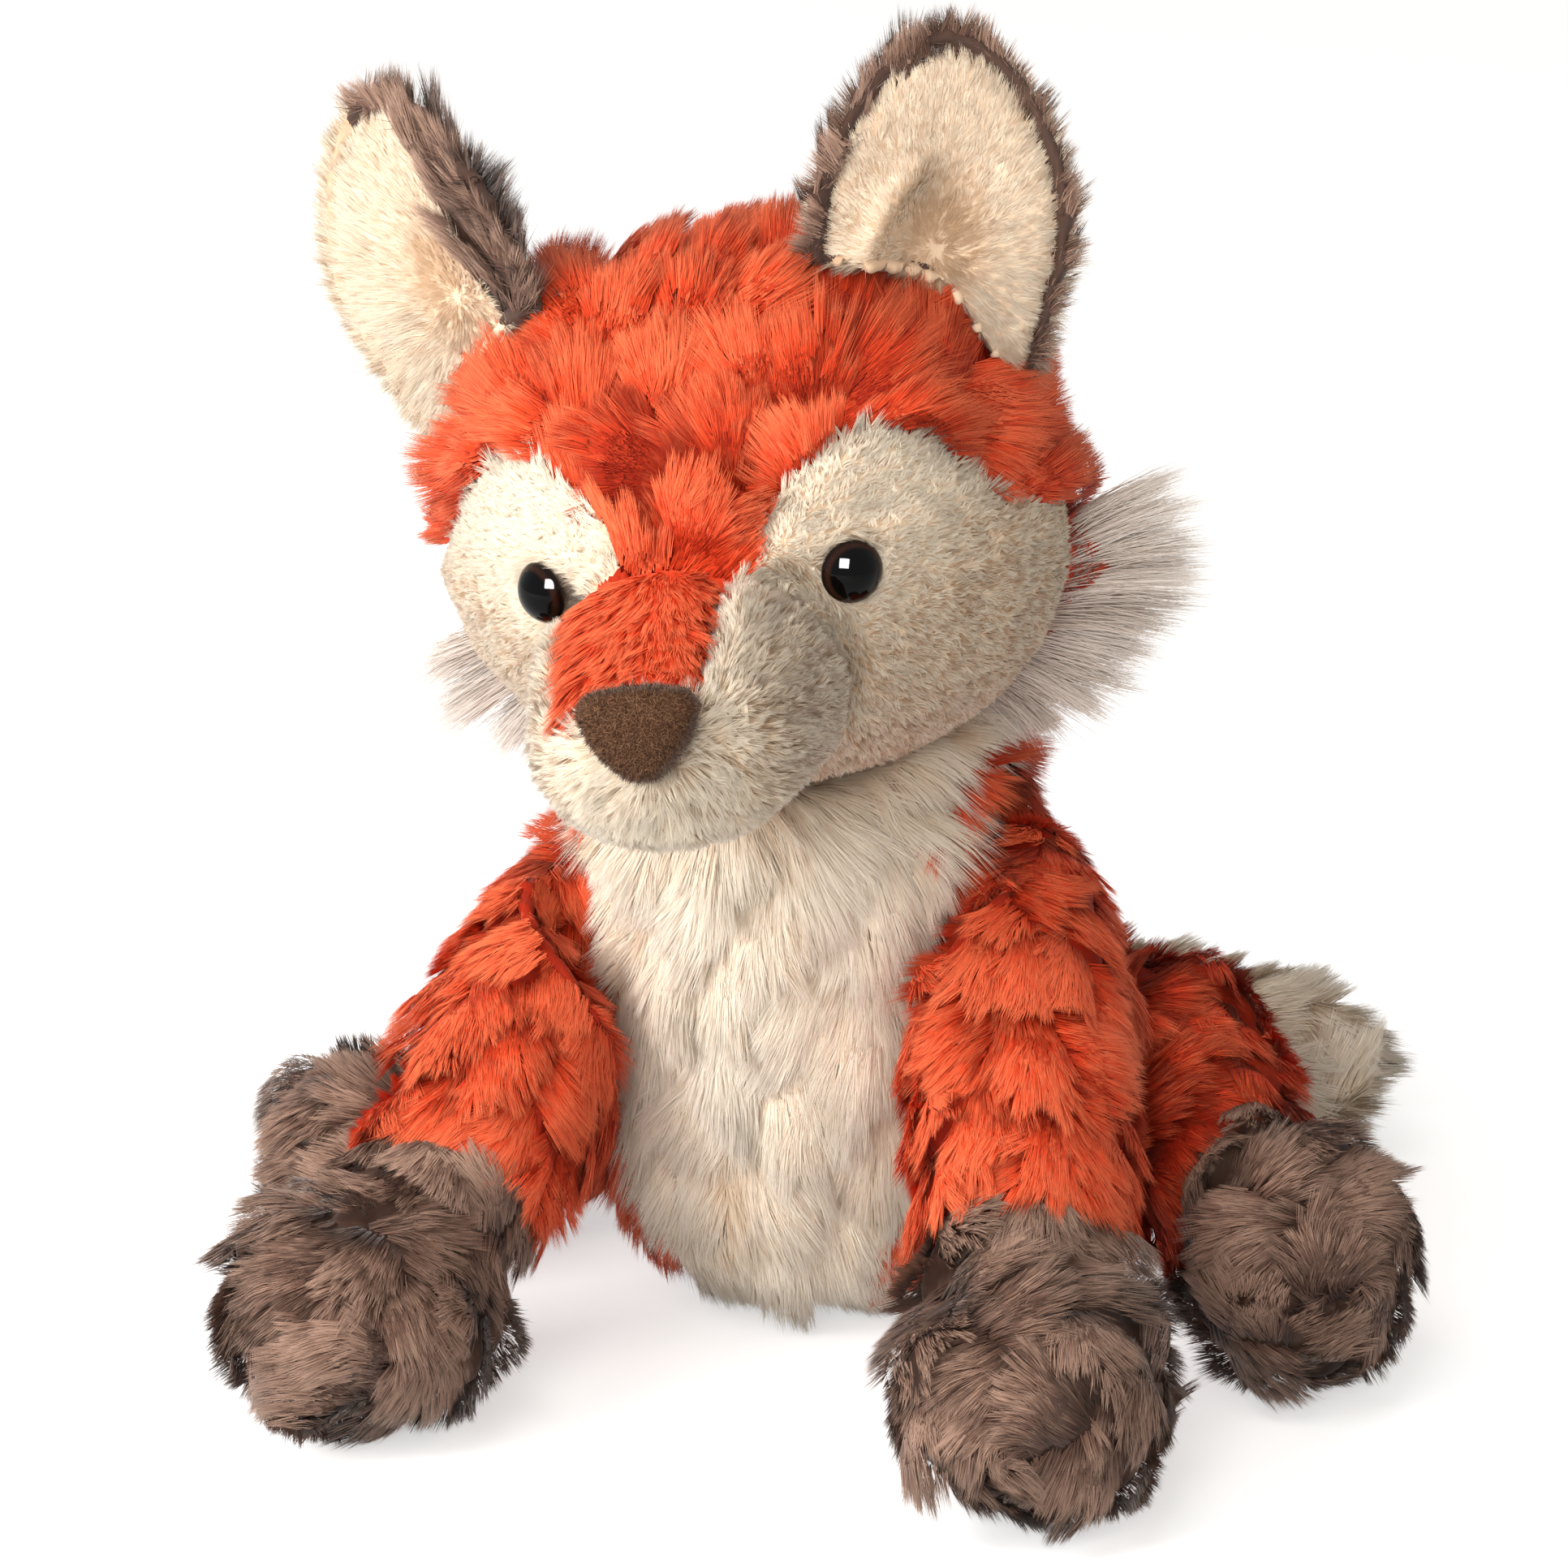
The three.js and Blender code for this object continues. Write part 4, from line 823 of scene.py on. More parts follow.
# Long pile: fine fibres lie along their tuft and stand up towards its shelf
def tuftedPile(skin, panel, look, flow, seed, toneAt=None, lengthAt=None):
    rng = np.random.default_rng(seed)
    root, out, room, inner = panelPoints(skin, panel, look["density"], rng)
    tufts = Tufts(root, out, look, flow, rng)
    held = Gathered(root, look, rng)
    stray = rng.normal(0, look["tuftGap"] * 0.06 * mm, (len(held.locks), 3))
    tuft = lookUp(tufts.near(root[held.locks]) + stray, tufts.spot)[held.lock]
    ahead, aside, high = tufts.at(root, tuft)
    turns = (math.radians(look[name]) for name in ("bunchTurn", "lockTurn", "strandTurn"))
    turn = tufts.turn[tuft] + aside * math.radians(look["fan"])
    turn = turn + held.vary(*turns, own=0.05)
    way = turned(flow(root, out), out, turn)
    lift = look["lift"] * tufts.lift[tuft] * (1 + look["shelf"] * ahead)
    lift = np.clip(lift + held.vary(bunch=0.05, lock=0.04, strand=0.05, own=0.04), 0.05, 0.95)
    size = look["length"] * mm * (1 + held.vary(bunch=0.07, lock=0.06, strand=look["ragged"], own=0.08))
    if lengthAt is not None:
        size = size * lengthAt(root, inner)
    high = high * (1 + held.vary(bunch=0.1)) * (1 - look["seamDrop"] * (1 - ramp(inner, 0.5, 0.85)))
    space = np.maximum(room * laid["roomShare"], laid["leastRoom"] * mm)
    squeeze = np.minimum(1, space / (high + lift * size))
    high, lift = high * squeeze, lift * squeeze
    size = size * np.maximum(squeeze, laid["leastSqueeze"]) ** 0.5
    start = root + out * (high - laid["rooted"] * mm)[:, None]
    tip = held.pulled(tipOf(start, out, way, lift, size), look["strandPull"], look["lockPull"])
    clearOfFloor(tip, rng)
    clearOfFloor(start, rng)
    face = unit(out - way * (look["slope"] * (0.5 - ahead))[:, None])
    # Painted shade: fibres at the tuft's rear, under the shelf of the tuft before it, and at its sides take a
    # darker tone, as in the creases between tufts
    shelf = look["shelfTone"] * (ramp(ahead, -1.0, 0.2) - 1)
    tone = look["tone"] + tufts.shade[tuft] + shelf - 0.14 * aside ** 2
    tone = tone + held.vary(bunch=0.04, lock=0.05, strand=look["toneSpread"], own=0.04)
    if toneAt is not None:
        tone = tone + toneAt(root, rng)
    width = widths(look, len(root), rng)
    tone = np.clip(tone, laid["least"], laid["most"])
    blades = bladeMesh(start, tip, out, face, width, tone, 0.25, rng.normal(0, 0.45, len(root)))
    return blades, tufts.cloth


# Short pile: upright fibres that lean a little along the flow, on cloth that may be puffed up in its seams
def shortPile(skin, panel, look, flow, seed, toneAt=None, lengthAt=None):
    rng = np.random.default_rng(seed)
    root, out, room, inner = panelPoints(skin, panel, look["density"], rng)

    def puffed(points, room, inner):
        return np.minimum(look["puff"] * mm * ramp(inner, 0.45, 1.0), np.maximum(room * 0.6, 0))

    held = Gathered(root, look, rng)
    lift = np.clip(look["lift"] + held.vary(lock=look["liftSpread"], strand=0.04, own=0.04), 0.1, 0.97)
    size = look["length"] * mm * (1 + held.vary(lock=0.08, strand=look["ragged"], own=0.06))
    if lengthAt is not None:
        size = size * lengthAt(root, inner)
    start = root + out * (puffed(root, room, inner) - laid["rooted"] * mm)[:, None]
    space = np.maximum(room * laid["roomShare"], laid["leastShort"] * mm)
    lift = lift * np.minimum(1, space / (lift * size))
    turn = held.vary(lock=math.radians(look["turn"]), strand=math.radians(look["strandTurn"]), own=0.1)
    way = turned(flow(root, out), out, turn)
    tip = held.pulled(tipOf(start, out, way, lift, size), look["strandPull"], look["lockPull"])
    tone = look["tone"] + held.vary(lock=look["toneSpread"] * 0.7, strand=look["toneSpread"], own=0.04)
    if toneAt is not None:
        tone = tone + toneAt(root, rng)
    width = widths(look, len(root), rng)
    nudge = [held.vary(lock=look["grain"], strand=look["grain"] * 0.6) for _ in range(3)]
    face = unit(out + way * 0.15 + np.stack(nudge, axis=1))
    tone = np.clip(tone, laid["least"], laid["most"])
    blades = bladeMesh(start, tip, out, face, width, tone, 0.2, rng.normal(0, 0.5, len(root)))
    return blades, puffed


# The bare cloth takes colours near the dark root end, as painted shade where it shows between fibres
clothLevel = {"tufted": 0.13, "short": 0.3}  # how far along a fibre's colours the bare cloth lies


def dress(body, panel, look, flow, cloth, seed, **more):
    skin = skins[body]
    index = skin["panels"].index(panel)
    lay, level = (tuftedPile, clothLevel["tufted"]) if "tuftGap" in look else (shortPile, clothLevel["short"])
    blades, heightOf = lay(skin, index, look, flow, seed, **more)
    thing = meshFrom(panel + "_fur", [clothMesh(skin, index, heightOf, level), blades], materials[cloth])
    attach(thing, body)
    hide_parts(panel)
    print(panel, len(thing.data.polygons), "faces")


longPile = {"density": 7.0, "length": 6.4, "lift": 0.38, "liftSpread": 0.2, "width": 0.24, "tuftGap": 11.0,
            "rise": 4.4, "turn": 34, "fan": 18, "bunchGap": 5.0, "bunchTurn": 7, "lockGap": 2.4,
            "lockTurn": 4, "strandGap": 0.85, "strandTurn": 4, "shelf": 0.6, "slope": 0.5, "lockPull": 0.1,
            "strandPull": 0.2, "ragged": 0.1, "seamDrop": 0.6, "tone": 0.66, "shelfTone": 0.24,
            "toneSpread": 0.12}
velvet = {"density": 16.0, "length": 2.5, "lift": 0.7, "liftSpread": 0.05, "width": 0.24, "turn": 26,
          "bunchGap": 4.0, "lockGap": 1.6, "strandGap": 0.7, "strandTurn": 26, "lockPull": 0.05,
          "strandPull": 0.3, "ragged": 0.07, "grain": 0.1, "puff": 0.0, "tone": 0.74, "toneSpread": 0.05}

# Body: orange coat and cream belly, longer at the neck where the head rests on it
torsoComb = {"centre": (0, -0.01, 0.16), "away": 0.5, "pull": (0, 0.1, -0.8)}
bellyComb = {"centre": (0, -0.05, 0.13), "away": 0.55, "pull": (0, 0, -0.9)}
bellyPanel = {**longPile, "density": 8.0, "length": 8.4, "tuftGap": 10.5, "rise": 3.0, "lift": 0.28,
              "turn": 18, "fan": 8, "bunchTurn": 7, "long": (0, 0, 1), "drawn": 0.4, "tone": 0.7,
              "shelfTone": 0.16, "shelf": 0.4, "slope": 0.3, "toneSpread": 0.1, "strandPull": 0.14}
neckPile = {"from": 100.0, "to": 118.0, "more": 0.5, "seamMore": 0.5}


def neckLength(root, inner):
    return 1 + neckPile["more"] * ramp(root[:, 2] / mm, neckPile["from"], neckPile["to"])


def bellyLength(root, inner):
    return neckLength(root, inner) + neckPile["seamMore"] * (1 - ramp(inner, 0.5, 0.9))


dress("body", "torso_coat", longPile, combed(**torsoComb), "orange_fur", 11, lengthAt=neckLength)
dress("body", "belly_panel", bellyPanel, combed(**bellyComb), "cream_fur", 12, lengthAt=bellyLength)

eye = {"radius": 6.0, "dome": 3.8, "rim": 1.0, "rimRound": 0.4, "rimShare": 0.6, "steps": 14, "around": 48,
       "shank": 1.6, "barb": 0.4, "pitch": 2.0, "barbs": 3, "start": -5.0, "tipRadius": 0.8,
       "across": 31.0, "up": 10.5, "turn": 35.0, "lift": 8.0, "sink": 1.0,
       "pupilShare": 0.78, "irisShare": 0.88, "edgeShare": 0.9, "edgeEnd": 0.97}


def eyePlace(side):
    turn, lift = math.radians(eye["turn"]), math.radians(eye["lift"])
    out = Vector((side * math.sin(turn) * math.cos(lift), -math.cos(turn) * math.cos(lift), math.sin(lift)))
    share = 1 - (eye["across"] / headForm["wide"]) ** 2 - (eye["up"] / headForm["up"]) ** 2
    at = Vector((side * eye["across"], -headForm["deep"] * math.sqrt(share), eye["up"])) - out * eye["sink"]
    return headPlace @ Matrix.Translation(at * mm) @ out.to_track_quat("Z", "Y").to_matrix().to_4x4()


# Head
crownCoat = {**longPile, "density": 8.0, "width": 0.21, "turn": 30, "length": 6.0, "tuftGap": 11.5,
             "rise": 5.0, "lift": 0.34, "strandPull": 0.16, "tone": 0.61, "shelfTone": 0.28}
muzzleCloth = {**velvet, "length": 3.4, "lift": 0.66, "turn": 24, "strandTurn": 16, "lockGap": 1.8,
               "strandPull": 0.4, "grain": 0.14}
noseBridge = {**velvet, "density": 9.0, "length": 6.4, "lift": 0.36, "liftSpread": 0.08, "turn": 9,
              "lockGap": 2.2, "strandGap": 0.85, "strandTurn": 6, "lockPull": 0.15, "strandPull": 0.4,
              "grain": 0.1, "puff": 5.0, "tone": 0.7, "toneSpread": 0.13}
patchPile = {"border": 1.3, "borderInner": (0.45, 0.8), "borderHigh": (4, 14), "borderAside": (12, 20),
             "lash": 0.9, "lashRing": (6.8, 8.6), "underEye": 1.6, "underRing": (5.4, 6.2)}
muzzlePile = {"more": 0.9, "ring": (12, 20)}
crownPile = {"more": 0.8, "ring": (20, 32)}


def nearest(root, matrices):
    return np.minimum(*(np.linalg.norm(root - np.array(m.translation), axis=1) for m in matrices)) / mm


# The pile is longer where a patch overlaps the crown and round the eye, and short under it
def patchLength(root, inner):
    at = inFrame(headPlace, root) / mm
    toEye = nearest(root, (eyePlace(-1), eyePlace(1)))
    border = patchPile["border"] * (1 - ramp(inner, *patchPile["borderInner"]))
    border = border * ramp(at[:, 2], *patchPile["borderHigh"])
    border = border * ramp(np.abs(at[:, 0]), *patchPile["borderAside"])
    lash = patchPile["lash"] * (1 - ramp(toEye, *patchPile["lashRing"]))
    return 1 + border + lash - patchPile["underEye"] * (1 - ramp(toEye, *patchPile["underRing"]))


def muzzleLength(root, inner):
    toNose = np.linalg.norm(root - nosePoint, axis=1) / mm
    return 1 + muzzlePile["more"] * (1 - ramp(toNose, *muzzlePile["ring"]))


# The crown's pile is longer round the foot of each ear
def crownLength(root, inner):
    return 1 + crownPile["more"] * (1 - ramp(nearest(root, earPlaces.values()), *crownPile["ring"]))


# Painted shade on the lower, outer parts of the face: there the pile is darkened a little evenly, and more in
# clumps and single fibres that stand for specks of darker cloth between the pile's clumps
cheekShade = {"aside": 0.7, "down": 1.0, "ends": (8, 34), "even": 0.08, "clump": 0.8, "clumpTone": 0.5}
muzzleShade = {"aside": 1.0, "down": 0.0, "ends": (6, 24), "even": 0.1, "clump": 0.9, "clumpTone": 0.45}
speck = {"clumps": 0.38, "singles": 0.2, "singleTone": 0.3}


def clumped(root, size):
    return np.sin(np.floor(root / (size * mm)) @ np.array([127.1, 311.7, 74.7])) * 43758.5453 % 1


def paintedShadeSpecks(shade):
    def toneAt(root, rng):
        at = inFrame(headPlace, root) / mm
        low = ramp(np.abs(at[:, 0]) * shade["aside"] - at[:, 2] * shade["down"], *shade["ends"])
        clumps = shade["clumpTone"] * (clumped(root, shade["clump"]) < speck["clumps"])
        singles = speck["singleTone"] * (rng.random(len(root)) < speck["singles"])
        return -low * (shade["even"] + clumps + singles)

    return toneAt


crownComb = {"centre": browPoint, "pull": (0, 0, -0.15)}
dress("head", "crown_coat", crownCoat, combed(**crownComb), "orange_fur", 21, lengthAt=crownLength)
for side, seed in (("left", 22), ("right", 23)):
    dress("head", "face_patch_" + side, velvet, combed(nosePoint), "cream_velour", seed,
          toneAt=paintedShadeSpecks(cheekShade), lengthAt=patchLength)
dress("head", "muzzle", muzzleCloth, combed(nosePoint), "grey_velour", 24,
      toneAt=paintedShadeSpecks(muzzleShade), lengthAt=muzzleLength)
dress("head", "nose_bridge", noseBridge, combed(parting), "orange_fur", 25)

# Ears: the lining's pile lengthens towards its rim, most on the outer side, and spreads over the brown edge
earBack = {**longPile, "density": 9.0, "width": 0.2, "tuftGap": 9, "turn": 20, "fan": 18, "rise": 2.4,
           "length": 6.6, "lift": 0.42, "strandPull": 0.12, "toneSpread": 0.15}
earLining = {**velvet, "length": 3.6, "lift": 0.36, "turn": 9, "strandTurn": 6, "strandPull": 0.18,
             "width": 0.2, "tone": 0.46, "toneSpread": 0.06}
earComb = {"backZ": -2, "liningZ": 14, "upward": 0.3}
# Painted shade in the ear lining's hollow
earHollow = {"tone": 0.5, "x": 1, "z": 16, "wide": 7, "tall": 10}  # darker where the lining is hollow
earRim = {"plain": 0.8, "lining": 1.0, "edge": (4, 12), "wrapEdge": (7, 13),
          "left": {"wrapped": 0.0, "outerLining": 0.5, "outerBack": 0.85, "innerBack": 1.0},
          "right": {"wrapped": 0.9, "outerLining": 2.0, "outerBack": 0.15, "innerBack": 1.3}}


def dressEar(side, seed):
    foot, heart = (np.array(earPlaces[side] @ Vector((0, 0, earComb[z] * mm))) for z in ("backZ", "liningZ"))
    upward = earComb["upward"] * np.array(earPlaces[side].to_3x3())[:, 2]
    rim = earRim[side]

    def liningLength(root, inner):
        outer = ramp(outward(side, root), *earRim["edge"])
        spread = (earRim["lining"] + rim["outerLining"] * outer) * (1 - ramp(inner, 0.5, 0.9))
        return earRim["plain"] + spread + rim["wrapped"] * ramp(outward(side, root), *earRim["wrapEdge"])

    def backLength(root, inner):
        outer, inside = (ramp(sign * outward(side, root), *earRim["edge"]) for sign in (1, -1))
        return 1 + (rim["outerBack"] - 1) * outer + (rim["innerBack"] - 1) * inside

    # Painted shade: the lining's fibres are darker in tone towards the middle of its hollow
    def hollowShade(root, rng):
        across = (outward(side, root) - earHollow["x"]) / earHollow["wide"]
        along = (inFrame(earPlaces[side], root)[:, 2] / mm - earHollow["z"]) / earHollow["tall"]
        return -earHollow["tone"] * np.exp(-across ** 2 - along ** 2)

    body = "ear_" + side
    dress(body, "ear_back_" + side, earBack, combed(foot, pull=upward), "brown_fur", seed,
          lengthAt=backLength)
    dress(body, "ear_lining_" + side, earLining, combed(heart, pull=upward), "cream_velour", seed + 1,
          toneAt=hollowShade, lengthAt=liningLength)


dressEar("left", 31)
dressEar("right", 33)

# Arms and legs
# Painted light: the sleeves' fibres have a high tone, so they come out lighter, as the arms are lit
sleeve = {**longPile, "density": 9.5, "length": 6.2, "lift": 0.3, "turn": 32, "fan": 12, "bunchTurn": 9,
          "tuftGap": 8.5, "rise": 3.8, "shelf": 0.3, "width": 0.2, "strandPull": 0.12, "liftSpread": 0.12,
          "seamDrop": 0.1, "tone": 0.84, "shelfTone": 0.34}
# Painted shade: the thighs' fibres have a low tone, so they come out darker, as the legs lie in shade
thigh = {**sleeve, "density": 8.0, "tone": 0.38, "shelfTone": 0.3}
forepaw = {**longPile, "density": 8.0, "length": 5.2, "lift": 0.42, "liftSpread": 0.12, "turn": 60,
           "rise": 5.0, "tuftGap": 12, "fan": 20, "shelf": 0.3, "tone": 0.66, "toneSpread": 0.17,
           "strandPull": 0.14}
armComb = {"x": 0.045, "y": -0.006, "z": 0.092, "away": 0.5, "pull": (0.3, -0.5, -0.7), "drawn": 0.45}
legComb = {"x": 0.044, "y": 0.02, "z": 0.036}
for side, sign, seed in (("left", 1, 41), ("right", -1, 44)):
    shoulder = (sign * armComb["x"], armComb["y"], armComb["z"])
    along = (sign * armComb["pull"][0], *armComb["pull"][1:])
    look = {**sleeve, "long": along, "drawn": armComb["drawn"]}
    dress("arm_" + side, "sleeve_" + side, look, combed(shoulder, armComb["away"], along), "orange_fur", seed)
    dress("arm_" + side, "forepaw_" + side, forepaw, combed(shoulder), "brown_fur", seed + 1)
for side, sign, seed in (("left", 1, 51), ("right", -1, 54)):
    hip = (sign * legComb["x"], legComb["y"], legComb["z"])
    dress("leg_" + side, "thigh_" + side, thigh, combed(hip), "orange_fur", seed)
    dress("leg_" + side, "foot_" + side, forepaw, combed(hip), "brown_fur", seed + 1)

# Tail
tailRoot = (0.006, 0.048, 0.028)
tailTip = {**bellyPanel, "length": 8.0, "lift": 0.5, "turn": 45, "drawn": 0.0}
dress("tail", "tail_coat", longPile, combed(tailRoot), "orange_fur", 61)
dress("tail", "tail_tip", tailTip, combed(tailRoot), "cream_fur", 62)
print("pile laid")


# Eyes: a domed lens with a flat rim, and a barbed shank behind it
def latheMesh(profile, place, around):
    verts, faces = [], []
    for radius, height in profile:
        for j in range(around):
            angle = 2 * math.pi * j / around
            x, y = radius * mm * math.cos(angle), radius * mm * math.sin(angle)
            verts.append(place @ Vector((x, y, height * mm)))
    for i in range(len(profile) - 1):
        for j in range(around):
            a, b = i * around + j, i * around + (j + 1) % around
            faces.append((a, a + around, b + around, b))
    faces.append(tuple(range(around)))
    faces.append(tuple(range((len(profile) - 1) * around, len(profile) * around))[::-1])
    mesh = bpy.data.meshes.new("lathe")
    mesh.from_pydata(verts, [], faces)
    mesh.update()
    return mesh


def makeEyeMaterial():
    material, n, shader = newMaterial("eye_plastic")
    away, angle = n.marks()
    grid = n.join(n.math("MULTIPLY", angle, 90.0), n.math("MULTIPLY", away, 6.0))
    iris = n.mix(n.noise(grid, 1.0, 3.0, 0.6), srgb(24, 13, 9), srgb(54, 30, 20))
    colour = n.mix(n.ease(away, eye["pupilShare"], eye["irisShare"]), srgb(6, 5, 5), iris)
    colour = n.mix(n.ease(away, eye["edgeShare"], eye["edgeEnd"]), colour, srgb(20, 12, 10))
    n.put(shader["Base Color"], colour)
    n.put(shader["Roughness"], 0.04)
    n.put(shader["Specular IOR Level"], 0.09)
    return material


def eyeProfile():
    radius, dome, rim, shank = (eye[name] for name in ("radius", "dome", "rim", "shank"))
    ball = (radius ** 2 + dome ** 2) / (2 * dome)
    profile = []
    for i in range(eye["steps"] + 1):
        angle = (0.02 + 0.98 * i / eye["steps"]) * math.asin(radius / ball)
        profile.append((ball * math.sin(angle), ball * math.cos(angle) - ball + dome))
    profile += [(radius, -rim * eye["rimShare"]), (radius - eye["rimRound"], -rim), (shank, -rim - 0.01)]
    for i in range(eye["barbs"]):
        top = eye["start"] - i * eye["pitch"]
        profile += [(shank, top + 0.01), (shank + eye["barb"], top), (shank, top - eye["pitch"] / 2)]
    profile.append((eye["tipRadius"], eye["start"] - eye["barbs"] * eye["pitch"]))
    return profile


def makeEye(side, name):
    place = eyePlace(side)
    mesh = latheMesh(eyeProfile(), place, eye["around"])
    layer = mesh.uv_layers.new(name=markLayer)
    back = place.inverted()
    for poly in mesh.polygons:
        poly.use_smooth = True
        for loop in poly.loop_indices:
            at = back @ mesh.vertices[mesh.loops[loop].vertex_index].co
            angle = math.atan2(at.y, at.x) / (2 * math.pi) + 0.5
            if angle < 0.01 and (back @ poly.center).y < 0:
                angle = 0.0
            layer.data[loop].uv = (min(math.hypot(at.x, at.y) / (eye["radius"] * mm), 1) * 0.99, angle)
    mesh.materials.append(eyeMaterial)
    thing = placed(name + "_plastic", mesh)
    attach(thing, "head")
    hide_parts(name)
    return thing


eyeMaterial = makeEyeMaterial()
eyes = [makeEye(1, "eye_left"), makeEye(-1, "eye_right")]
print("eyes made")

# Nose: a domed felt pad with a nap of short loose fibres
nose = {"voxel": 0.55, "passes": 40, "dome": 2.2, "domeRadius": 11.0, "evenPasses": 6,
        "nap": 1.2, "napSpread": (0.5, 1.3), "fibres": 9000, "width": 0.2, "upright": 0.9, "rooted": 0.1,
        "tone": 0.5, "toneSpread": 0.28}


def makeNose():
    rng = np.random.default_rng(71)
    count = nose["fibres"]
    places, faces = roundForm(["nose_pad"], nose["voxel"], nose["passes"])
    middle = places.mean(axis=0)
    axis = np.linalg.svd(places - middle, full_matrices=False)[2][2]
    axis *= -np.sign(axis[1])
    flat = places - middle - ((places - middle) @ axis)[:, None] * axis
    share = np.linalg.norm(flat, axis=1) / (nose["domeRadius"] * mm)
    front = vertexNormals(places, faces) @ axis
    raised = np.clip(front * 2, 0, 1) * nose["dome"] * mm * np.clip(1 - share ** 2, 0, 1)
    places = smoothed(places + axis * raised[:, None], edgesOf(faces), nose["evenPasses"], (0.5, -0.48))
    out = vertexNormals(places, faces)
    a, b, c = (places[faces[:, k]] for k in range(3))
    area = np.linalg.norm(np.cross(b - a, c - a), axis=1)
    area = area * np.clip(((out[faces].mean(axis=1)) @ axis) + 0.35, 0, 1)
    pick = rng.choice(len(faces), count, p=area / area.sum())
    shares = rng.dirichlet((1, 1, 1), count)[:, :, None]
    root = (places[faces[pick]] * shares).sum(axis=1)
    normal = unit((out[faces[pick]] * shares).sum(axis=1))
    way = unit(rng.normal(0, 1, root.shape) + normal * nose["upright"])
    tip = root + way * (nose["nap"] * mm * rng.uniform(*nose["napSpread"], (count, 1)))
    tone = np.clip(rng.normal(nose["tone"], nose["toneSpread"], count), laid["least"], laid["most"])
    width = np.full(count, nose["width"] * mm)
    start = root - normal * nose["rooted"] * mm
    nap = fibreMesh(start, (root + tip) / 2, tip, normal, width, tone, 1, 0.6, 0.7)
    across, high = (places[:, k] - middle[k] for k in (0, 2))
    marks = np.stack([0.35 + 6 * across, 0.1 + 0.3 * high / (20 * mm) + 0.15], axis=1)
    thing = meshFrom("nose_pad_felt", [(places, faces, marks, out), nap], materials["nose_felt"])
    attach(thing, "head")
    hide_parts("nose_pad")


makeNose()
print("nose made")

# Cheek tufts: long straight fibres gathered in pointed locks that fan out of the cheek seam
cheekTuft = {"fibres": 4200, "locks": 24, "reach": 30, "back": 3, "width": 0.2, "rings": 4,
             "rootShare": 0.93, "seamShare": 0.96, "rootSpread": (0.8, 2.2, 0.8),
             "reachShares": (0.72, 1.0, 0.98, 0.86, 0.95, 0.8, 0.6),
             "loose": 0.25, "pull": 0.5, "loosePull": 0.15, "tone": 0.6,
             "left": {"rootTop": -10, "rootBottom": -64, "fanTop": 16, "fanBottom": -80, "sweep": 9},
             "right": {"rootTop": -24, "rootBottom": -72, "fanTop": -10, "fanBottom": -84, "sweep": -5}}


def makeCheekTuft(side, name, seed):
    rng = np.random.default_rng(seed)
    count, locks = cheekTuft["fibres"], cheekTuft["locks"]
    spot = cheekTuft["left" if side > 0 else "right"]
    backward, upward = np.array([0, 1, 0]), np.array([0, 0, 1])

    def rootAt(s, deep):
        angle = np.radians(spot["rootTop"] + (spot["rootBottom"] - spot["rootTop"]) * s)
        across = side * headForm["wide"] * np.cos(angle) * deep
        tall = np.where(angle < 0, headForm["down"], headForm["up"]) * np.sin(angle) * deep
        return np.stack([across, cheekTuft["back"] + 0 * s, tall], axis=1)

    def fanAt(s):
        angle = np.radians(spot["fanTop"] + (spot["fanBottom"] - spot["fanTop"]) * s)
        return np.stack([side * np.cos(angle), 0 * s, np.sin(angle)], axis=1)

    def reachAt(s):
        shares = cheekTuft["reachShares"]
        return cheekTuft["reach"] * np.interp(s, np.linspace(0, 1, len(shares)), shares)

    lockShare = (np.arange(locks) + 0.5 + rng.normal(0, 0.22, locks)) / locks
    share = rng.random(count)
    lockOf = np.abs(share[:, None] - lockShare[None]).argmin(axis=1)
    loose = rng.random(count) < cheekTuft["loose"]
    root = rootAt(share, cheekTuft["rootShare"])
    root = root + rng.normal(0, 1, (count, 3)) * np.array(cheekTuft["rootSpread"])
    lockFan = unit(fanAt(lockShare) + rng.normal(0, 0.12, (locks, 3)))
    lockFar = reachAt(lockShare) * rng.uniform(0.65, 1.12, locks)
    seam, lockSeam = (rootAt(s, cheekTuft["seamShare"]) for s in (share, lockShare))
    lockTip = lockSeam + lockFan * lockFar[:, None] + backward * spot["sweep"]
    lockTip[:, 1] += rng.normal(0, 4, locks)
    fan = unit(fanAt(share) + rng.normal(0, 0.1, (count, 3)))
    own = seam + fan * (reachAt(share) * rng.uniform(0.7, 1.1, count))[:, None]
    own[:, 1] += spot["sweep"] + rng.normal(0, 3, count)
    pull = np.where(loose, cheekTuft["loosePull"], cheekTuft["pull"])[:, None]
    tip = own * (1 - pull) + lockTip[lockOf] * pull + rng.normal(0, 0.5, (count, 3))
    span = tip - root
    tip = root + span * rng.uniform(0.72, 1.04, count)[:, None]
    control = root + span * 0.5 - backward * 1.5 + upward * 1.0 + rng.normal(0, 1.3, (locks, 3))[lockOf]
    turnIn, middle = np.array(headPlace.to_3x3()), np.array(headPlace.translation)
    root, control, tip = (p @ turnIn.T * mm + middle for p in (root, control, tip))
    out = unit(np.tile(turnIn @ np.array([side * 0.35, -1.0, 0.1]), (count, 1)))
    tone = rng.normal(cheekTuft["tone"], 0.14, count) + rng.normal(0, 0.1, locks)[lockOf]
    tone = np.clip(tone, laid["least"], laid["most"])
    width = np.full(count, cheekTuft["width"] * mm)
    fibres = fibreMesh(root, control, tip, out, width, tone, cheekTuft["rings"], 0.7, 0.4)
    thing = meshFrom(name + "_fur", [fibres], materials["white_fur"])
    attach(thing, "head")
    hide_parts(name)


makeCheekTuft(1, "cheek_tuft_left", 81)
makeCheekTuft(-1, "cheek_tuft_right", 82)
print("cheek tufts made")

